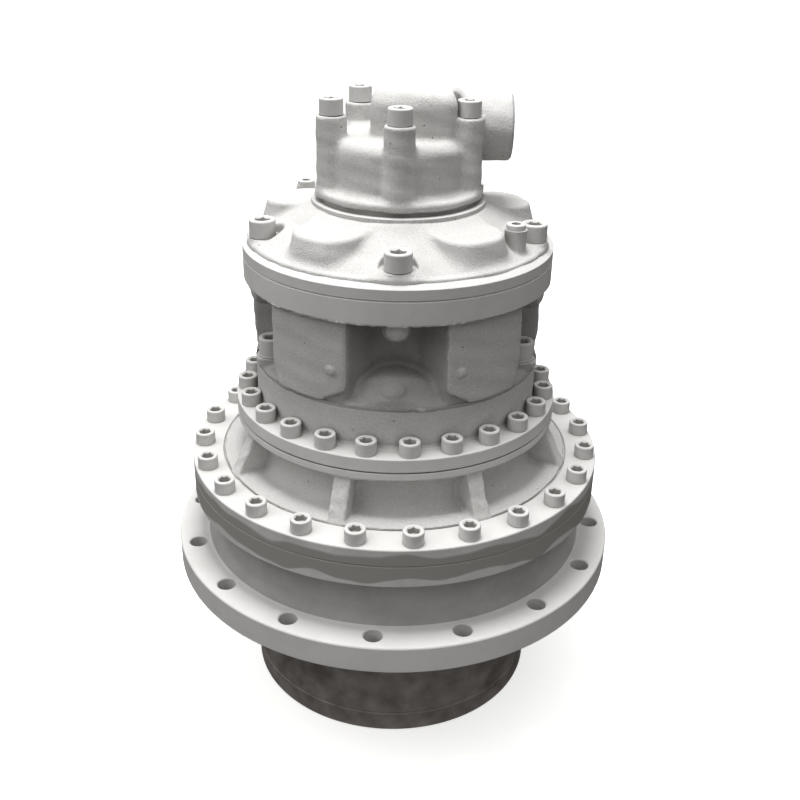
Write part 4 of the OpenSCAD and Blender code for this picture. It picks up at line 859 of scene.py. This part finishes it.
class GEARMOTOR_OT_motor_cover(bpy.types.Operator):
    """Make the motor cover with its five lobes and its hub"""

    bl_idname = "gear_motor.motor_cover"
    bl_label = "Motor cover"

    def execute(self, context):
        s = settings().shape
        c = Casting((-188, -188, 583), (188, 188, 646), s.fine_cell / MM)
        c.add(c.turned([
            (0, 587), (COVER_STEP_R - 0.5, 587), (COVER_STEP_R - 0.5, 597), (COVER_STEP_R - 2, 598.5),
            (COVER_STEP_R - 9, 599.4), (COVER_STEP_R - 36, 612), (HUB_R + 16, 627), (HUB_R + 4, 634.5),
            (HUB_R - 1, 636), (0, 636)]))
        # The cone is higher near the screws
        out, side = c.folded(MOTOR_TURN, CYLINDERS)
        rise = c.turned([
            (130, 595), (COVER_STEP_R - 0.5, 595), (COVER_STEP_R - 0.5, 599), (COVER_STEP_R - 5, 603.2),
            (COVER_STEP_R - 16, 608), (COVER_STEP_R - 36, 614), (130, 616)])
        c.add(rise + 0.35 * np.maximum(0, np.abs(side) - 17), 5)
        # Lobes over the cylinders, with slanted ends and walls
        along, across = c.folded(LOBE_TURN, CYLINDERS)
        end = (along - COVER_LOBE_END + (c.z - 600) * 0.28) * 0.96
        wall = np.abs(across) - COVER_LOBE_W / 2 + (c.z - 600) * 0.06
        top = c.z - COVER_LOBE_TOP + (along - 105) * 0.05
        lobe = rounded(rounded(wall, end, COVER_LOBE_CORNER), top, 3.5)
        c.add(np.maximum(lobe, np.maximum(588 - c.z, 40 - along)), s.cover_fillet / MM)
        for turn in DRAIN_TURNS:
            out, side = c.near(turn, DRAIN_PITCH)
            c.add(c.post(out, side, 12, 590, DRAIN_Z + 3, 1.5, 0.03), 3)
        # A pad and a flared pocket round each screw
        out, side = c.folded(MOTOR_TURN, CYLINDERS)
        pad = c.post(out - COVER_PITCH, side, 16, 588, COVER_SEAT + 2, 0.5, 0.1)
        c.add(rounded(pad, c.rho - COVER_STEP_R - 0.2, 1), 4)
        flare = (np.hypot(out - COVER_PITCH, side) - 20.5 - (c.z - COVER_SEAT) * 0.35) * 0.94
        c.cut(np.maximum(flare, COVER_SEAT - c.z), 1)
        c.field = c.field + c.waves(s.waviness / MM)
        body = c.object("motor_cover_casting")
        combine(body, [
            revolve("rim", [
                (0, MOTOR_TOP), (MOTOR_R - 1.2, MOTOR_TOP), (MOTOR_R, MOTOR_TOP + 1.2),
                (MOTOR_R, COVER_RIM - 1), (MOTOR_R - 0.8, COVER_RIM), (COVER_STEP_R - 4, 596.5),
                (COVER_STEP_R - 4, COVER_RIM), (0, COVER_RIM)]),
            revolve("hub", [
                (0, 630), (HUB_R, 630), (HUB_R, COVER_TOP - 1), (HUB_R - 1, COVER_TOP), (0, COVER_TOP)]),
            ], "UNION")
        combine(body, [revolve("underside", stepped(CRANK_BEARING_R + FIT, 602, DIST_PILOT_R, 570, 650))])
        combine(body, [
            revolve("groove", [
                (SEAL_HIGH, COVER_TOP + 1), (SEAL_LOW, COVER_TOP + 1), (SEAL_LOW, COVER_TOP - 3),
                (SEAL_HIGH, COVER_TOP - 3)]),
            holes(column(DOWEL_R, 576, 589.5), DOWEL_PITCH, LOBE_TURN, CYLINDERS),
            holes(stepped(10.5, COVER_SEAT, 16.5, 576, COVER_SEAT + 4), COVER_PITCH, MOTOR_TURN, CYLINDERS,
                  None, 48),
            holes(column(9 + FIT, COVER_TOP - 28, COVER_TOP + 1), COLUMN_PITCH, MOTOR_TURN, CYLINDERS)])
        for turn in DRAIN_TURNS:
            tool = revolve("drain", stepped(7 + FIT, DRAIN_Z, 14, 611, DRAIN_Z + 8), 48)
            combine(body, [shift(tool, turn, DRAIN_PITCH)])

        def face(centre_of, normal):
            r, z = radius_of(centre_of), centre_of[:, 2]
            return np.where((r > COVER_STEP_R - 0.3) | ((z > 637.5) & (r < HUB_R + 1)), 1, 0)
        paint(body, ["cast_primer", "rim_primer"], face)
        hand_over(body, "primer", "motor_cover")
        return {"FINISHED"}


class GEARMOTOR_OT_distributor(bpy.types.Operator):
    """Make the oil distributor with its columns, passage and ports"""

    bl_idname = "gear_motor.distributor"
    bl_label = "Oil distributor"

    def execute(self, context):
        s = settings().shape
        c = Casting((-103, -103, 641), (132, 132, 771), s.fine_cell / MM)
        c.add(c.turned([
            (0, DIST_FOOT), (DIST_BASE_R - 1.5, DIST_FOOT), (DIST_BASE_R, DIST_FOOT + 1.5),
            (DIST_BASE_R, DIST_BASE_TOP - 2.5), (DIST_BASE_R - 2.5, DIST_BASE_TOP),
            *arc(DRUM_R + 7, DIST_BASE_TOP + 7, 7, 270, 180),
            *arc(DRUM_R - 14, DRUM_TOP - 14, 14, 0, 90), (0, DRUM_TOP)]))
        out, side = c.folded(MOTOR_TURN, CYLINDERS)
        c.add(c.post(out - COLUMN_PITCH, side, COLUMN_R, 648, COLUMN_SEAT, 2.6, 0.008), 5)
        out, side = c.near(MOTOR_TURN + 3 * LOBE_STEP, COLUMN_PITCH)
        c.add(c.post(out, side, 21, 650, 712, 4), 5)
        # The passage lies across the drum's top, and each port is a short pipe out of it or the drum
        width = np.maximum(-40 - c.y, c.y - 36)
        length = np.maximum(-32 - c.x, c.x - 72)
        corner = 21
        duct = rounded(rounded(width, c.z - PASSAGE_TOP + 1.2, corner), length, corner - 1)
        c.add(np.maximum(duct, 690 - c.z), 5)
        y, z = PORT_A
        boss = rounded(np.hypot(c.y - y, c.z - z) - PORT_R, c.x - PORT_REACH + 2, 1.5)
        c.add(np.maximum(boss, -c.x), 6)
        x, z = PORT_B
        boss = rounded(np.hypot(c.x - x, c.z - z) - PORT_R, c.y - PORT_REACH + 2, 1.5)
        c.add(np.maximum(boss, -c.y), 6)
        out, side = c.folded(MOTOR_TURN, CYLINDERS)
        c.cut(np.maximum(np.hypot(out - COLUMN_PITCH, side) - 17, COLUMN_SEAT + 0.3 - c.z), 2)
        c.field = c.field + c.waves(s.waviness / MM, (17, 29, 41))
        body = c.object("distributor_casting")
        combine(body, [
            revolve("foot", column(DIST_BASE_R - 5, COVER_TOP, DIST_FOOT + 2)),
            revolve("pilot", column(DIST_PILOT_R - FIT, 633, 642))], "UNION")
        combine(body, [
            revolve("valve bore", column(VALVE_R, 632, VALVE_TOP), 96),
            holes(stepped(9.5, COLUMN_SEAT, 14.5, 640, 775), COLUMN_PITCH, MOTOR_TURN, CYLINDERS, None, 64)])
        x, y, r, top = RISER
        riser = revolve("riser", column(r, VALVE_TOP - 1, top), 64)
        combine(body, [shift(riser, matrix=Matrix.Translation((x * MM, y * MM, 0)))])
        (way_in, way_r), (bore_in, bore_r) = PORT_WAY
        rim_r = PORT_R - 0.4
        for turn, offset, height in ((90, PORT_A[0], PORT_A[1]), (180, 0, PORT_B[1])):
            place = Matrix.Rotation(math.radians(turn - 90), 4, "Z") @ Matrix.Translation(
                (0, offset * MM, height * MM)) @ LYING
            plate = revolve("port face", [
                (0, 112), (rim_r, 112), (rim_r, PORT_REACH - 2.4), (rim_r - 2.4, PORT_REACH),
                (0, PORT_REACH)], 128)
            combine(body, [shift(plate, matrix=place)], "UNION")
            bore = revolve("port", [
                (0, way_in), (way_r, way_in), (way_r, bore_in), (bore_r, bore_in),
                (bore_r, PORT_REACH - 1.5), (bore_r + 3, PORT_REACH + 1.5), (0, PORT_REACH + 1.5)], 64)
            tools = [shift(bore, matrix=place)]
            for a, b in PORT_HOLES:
                hole = revolve("tapped hole", [
                    (0, 109), (5, 109), (5, PORT_REACH - 1), (7, PORT_REACH + 1), (0, PORT_REACH + 1)], 32)
                tools.append(shift(hole, matrix=place @ Matrix.Translation((a * MM, b * MM, 0))))
            combine(body, tools)

        def face(centre, normal):
            port_face = ((centre[:, 0] > PORT_REACH - 0.2) & (normal[:, 0] > 0.9)) | (
                (centre[:, 1] > PORT_REACH - 0.2) & (normal[:, 1] > 0.9))
            bored = (radius_of(centre) < VALVE_R + 1) & (centre[:, 2] < VALVE_TOP + 1)
            foot = centre[:, 2] < DIST_FOOT - 0.2
            return np.where(bored, 2, np.where(port_face | foot, 1, 0))
        paint(body, ["cast_primer", "rim_primer", "machined_steel"], face)
        hand_over(body, "primer", "distributor_housing")
        return {"FINISHED"}


def socket_screw(name, thread, grip, down=False):
    """Socket head screw with its seat at z = 0, and its head below it where down is set"""
    s = settings().screws
    head, soft, depth = 0.75 * thread, s.soft * thread, s.socket * thread
    screw = revolve(name, [
        (0, -grip), (0.44 * thread, -grip), (0.5 * thread, -grip + 0.06 * thread), (0.5 * thread, 0),
        (head - 0.3, 0), (head, 0.3), (head, thread - soft),
        *arc(head - soft, thread - soft, soft, 15, 90, 5), (0, thread)], 40)
    lead = revolve("lead", [
        (0, 0.84 * thread), (0.36 * thread, 0.84 * thread), (0.54 * thread, 1.02 * thread),
        (0, 1.02 * thread)], 40)
    combine(screw, [hexagon(0.475 * thread, thread - depth, thread + 1, 30), lead])
    if down:
        screw.data.transform(Matrix.Rotation(math.pi, 4, "X"))
    return screw


class GEARMOTOR_OT_screws(bpy.types.Operator):
    """Make the circles of socket head screws"""

    bl_idname = "gear_motor.screws"
    bl_label = "Screws"

    def execute(self, context):
        # Name, node, thread, grip, circle's radius, first turn, count, step and seat of each row
        rows = (
            ("ring_screws", "case_bolts", 16, 40, RING_PITCH, CASE_TURN, RING_SCREWS, None, RING_TOP),
            ("adapter_screws", "adapter_bolts", 16, 27.5, ADAPTER_PITCH, CASE_TURN, RING_SCREWS, None,
             ADAPTER_LAND),
            ("mount_screws", "mount_bolts", 20, 42, MOUNT_PITCH, MOTOR_TURN + LOBE_STEP, 4, LOBE_STEP,
             MOUNT_HEAD),
            ("cover_screws", "cover_bolts", 20, 61.5, COVER_PITCH, MOTOR_TURN, CYLINDERS, None, COVER_SEAT),
            ("distributor_screws", "distributor_bolts", 18, 121, COLUMN_PITCH, MOTOR_TURN, CYLINDERS, None,
             COLUMN_SEAT),
            ("end_screws", "end_ring_screws", 10, 36, END_PITCH, CASE_TURN, END_SCREWS, None, 11),
        )
        for name, node, thread, grip, radius, turn, count, step, height in rows:
            below = node == "end_ring_screws"
            finish = finishes()["machined_steel" if below else "screw_primer"]
            screw = socket_screw(name, thread, grip, below)
            on_circle(screw, radius, turn, count, step, height, 360, finish)
            paint(screw, [finish.name], sharp=40)
            hand_over(screw, "steel" if below else "primer", node)
        return {"FINISHED"}


class GEARMOTOR_OT_washers(bpy.types.Operator):
    """Make the stepped washers under the mounting screws"""

    bl_idname = "gear_motor.washers"
    bl_label = "Washers"

    def execute(self, context):
        r, bore, z0, z1, z2 = WASHER_R, 10.5, MOUNT_SEAT, MOUNT_SEAT + 4, MOUNT_HEAD
        washer = revolve("mount_washer_stacks", [
            (bore, z0), (r - 0.4, z0), (r, z0 + 0.4), (r, z1 - 0.6), (r - 0.6, z1), (r - 2, z1),
            (r - 2, z2 - 0.5), (r - 2.5, z2), (bore, z2)], 64)
        finish = finishes()["screw_primer"]
        on_circle(washer, MOUNT_PITCH, MOTOR_TURN + LOBE_STEP, 4, LOBE_STEP, finish=finish)
        paint(washer, ["screw_primer"])
        hand_over(washer, "primer", "mount_washers")
        return {"FINISHED"}


def socket_plug(name, r, shank, collar_r, collar_h):
    """Screw plug with a collar and a hexagon socket"""
    plug = revolve(name, [
        (0, -shank), (r - 1, -shank), (r, -shank + 1), (r, 0), (collar_r - 0.3, 0), (collar_r, 0.3),
        *arc(collar_r - 1.2, collar_h - 1.2, 1.2, 0, 90, 4), (0, collar_h)], 48)
    return combine(plug, [hexagon(0.55 * collar_r, collar_h - 5, collar_h + 1)])


class GEARMOTOR_OT_plugs(bpy.types.Operator):
    """Make the drain plugs of the motor and the oil plugs of the adapter"""

    bl_idname = "gear_motor.plugs"
    bl_label = "Plugs"

    def execute(self, context):
        # Name, node, finish, slot, sizes, turns, radius, height and way of each pair
        groups = (
            ("drain_screw_plugs", "drain_plugs", "screw_primer", "primer", (7, 14, 10.5, 6), DRAIN_TURNS,
             DRAIN_PITCH, DRAIN_Z, None),
            ("oil_screw_plugs", "oil_plugs", "machined_steel", "steel", (11, 18, 15, 5), OIL_TURNS,
             OIL_R, OIL_Z, LYING),
        )
        for name, node, finish, slot, sizes, turns, radius, height, way in groups:
            first, second = (shift(socket_plug(name, *sizes), turn, radius, height, way) for turn in turns)
            combine(first, [second], "UNION")
            paint(first, [finish])
            hand_over(first, slot, node)
        return {"FINISHED"}


class GEARMOTOR_OT_carried_over(bpy.types.Operator):
    """Give the remaining nodes of the frame their finishes"""

    bl_idname = "gear_motor.carried_over"
    bl_label = "Carried-over nodes"

    def execute(self, context):
        # The first of these words in a node's name gives its finish
        kinds = (
            (("seal",), "nitrile_rubber"), (("bush", "thrust"), "bearing_bronze"),
            (("race", "roller", "pin", "piston", "rotary"), "bearing_steel"), (("",), "machined_steel"))
        for name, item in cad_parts.items():
            if item.hide_render:
                continue
            finish = next(kind for words, kind in kinds if any(word in name for word in words))
            if name == "end_ring":
                finish = "spigot_iron"
            for place in item.material_slots:
                place.material = finishes()[finish]
        return {"FINISHED"}


def backdrop_paper(tone):
    """Backdrop paper: flat white with a trace of fibre"""
    paper, tree, shader, place = material("backdrop_paper")
    fibre = add(tree, "ShaderNodeTexNoise", {"Vector": place, "Scale": 1 / (4 * MM), "Detail": 2.0})
    dull = add(tree, "ShaderNodeMapRange", {"Value": fibre.outputs[0], 3: 0.85, 4: 0.95})
    tree.links.new(dull.outputs[0], shader.inputs["Roughness"])
    shader.inputs["Base Color"].default_value = four(tone)
    shader.inputs["Specular IOR Level"].default_value = 0.1
    shader.inputs["Emission Color"].default_value = four(tone)
    shader.inputs["Emission Strength"].default_value = 0.6
    return paper


def soft_sky(strength):
    """Sky that is brightest overhead, a little to the back and the left, and dark round the ground"""
    world = bpy.data.worlds.new("Sky")
    world.use_nodes = True
    tree = world.node_tree
    tree.nodes.clear()
    way = add(tree, "ShaderNodeTexCoord").outputs["Generated"]
    high = add(tree, "ShaderNodeVectorMath", {0: way, 1: (-0.15, 0.08, 0.985)}, operation="DOT_PRODUCT")
    ramp = add(tree, "ShaderNodeValToRGB", {0: high.outputs["Value"]})
    ramp.color_ramp.elements[0].color = four(linear("#3a3735"))
    ramp.color_ramp.elements[1].color = four(linear("#ffffff"))
    for height, code in ((0.14, "#676665"), (0.45, "#c4c4c4"), (0.75, "#f4f4f4")):
        ramp.color_ramp.elements.new(height).color = four(linear(code))
    sky = add(tree, "ShaderNodeBackground", {"Color": ramp.outputs[0], "Strength": strength})
    add(tree, "ShaderNodeOutputWorld", {"Surface": sky.outputs[0]})
    return world


def softbox(name, power, size, spot, height):
    """Round softbox at a spot in metres, aimed at a height on the axis"""
    light = bpy.data.lights.new(name, "AREA")
    light.shape, light.size, light.energy = "DISK", size, power
    lamp = link(name, light)
    lamp.location = spot
    lamp.rotation_euler = (Vector((0, 0, height)) - lamp.location).to_track_quat("-Z", "Y").to_euler()


class GEARMOTOR_OT_stage(bpy.types.Operator):
    """Make the floor, the soft light and the camera"""

    bl_idname = "gear_motor.stage"
    bl_label = "Stage"

    def execute(self, context):
        s = settings().stage
        scene = context.scene
        scene.view_settings.view_transform = "Standard"
        half = 30000
        floor = prism("floor", [(-half, -half), (half, -half), (half, half), (-half, half)], -20, 0)
        floor.data.materials.append(backdrop_paper(s.floor))
        # The floor throws no light back, so that the undersides stay dark
        floor.visible_diffuse = False
        floor.visible_glossy = False
        scene.world = soft_sky(s.sky)
        softbox("Overhead", s.key, 0.8, (-0.12, -0.08, 2.6), 0.45)
        softbox("Upper left", s.side, 1.0, (-1.6, -0.5, 2.0), 0.45)
        softbox("Ground", s.ground, 0.6, (0.15, -0.95, 0.03), 0.12)
        # The camera stands in front and above, as found from the circles of the joints and screws
        camera = bpy.data.cameras.new("Camera")
        camera.sensor_width, camera.lens = 36, 44.97
        camera.clip_start, camera.clip_end = 0.05, 100
        view = link("Camera", camera)
        view.matrix_world = (Matrix.Translation((0.0059, -1.1432, 0.9382))
                             @ Matrix.Rotation(math.radians(63.8455), 4, "X")
                             @ Matrix.Rotation(math.radians(1.076), 4, "Z"))
        scene.camera = view
        return {"FINISHED"}


PIECES = (
    GEARMOTOR_OT_stage, GEARMOTOR_OT_output_housing, GEARMOTOR_OT_gear_case, GEARMOTOR_OT_motor_adapter,
    GEARMOTOR_OT_motor_housing, GEARMOTOR_OT_motor_cover, GEARMOTOR_OT_distributor, GEARMOTOR_OT_screws,
    GEARMOTOR_OT_washers, GEARMOTOR_OT_plugs, GEARMOTOR_OT_carried_over,
)


class GEARMOTOR_PT_looks(bpy.types.Panel):
    """Panel with the sizes, colours and pieces"""

    bl_idname = "GEARMOTOR_PT_looks"
    bl_label = "Gear motor"
    bl_space_type = "VIEW_3D"
    bl_region_type = "UI"
    bl_category = "Gear motor"

    def draw(self, context):
        for group in ("shape", "screws", "finish", "stage"):
            values = getattr(context.scene.gear_motor, group)
            box = self.layout.box()
            for key in values.__annotations__:
                box.prop(values, key)
        for piece in PIECES:
            self.layout.operator(piece.bl_idname)


class GearMotorSettings(bpy.types.PropertyGroup):
    """All settings of the looks"""

    shape: PointerProperty(name="Shape", description="Sizes of the castings", type=GearMotorShape)
    screws: PointerProperty(name="Screws", description="Sizes of the screws", type=GearMotorScrews)
    finish: PointerProperty(name="Finish", description="Colours", type=GearMotorFinish)
    stage: PointerProperty(name="Stage", description="Light and floor", type=GearMotorStage)


CLASSES = (GearMotorShape, GearMotorScrews, GearMotorFinish, GearMotorStage, GearMotorSettings, *PIECES,
           GEARMOTOR_PT_looks)


def register():
    for item in CLASSES:
        bpy.utils.register_class(item)
    bpy.types.Scene.gear_motor = PointerProperty(
        name="Gear motor", description="Settings of the looks", type=GearMotorSettings)


def unregister():
    del bpy.types.Scene.gear_motor
    for item in reversed(CLASSES):
        bpy.utils.unregister_class(item)


def main():
    """Makes every piece in order"""
    register()
    for piece in PIECES:
        group, name = piece.bl_idname.split(".")
        getattr(getattr(bpy.ops, group), name)()


if __name__ == "__main__":
    main()
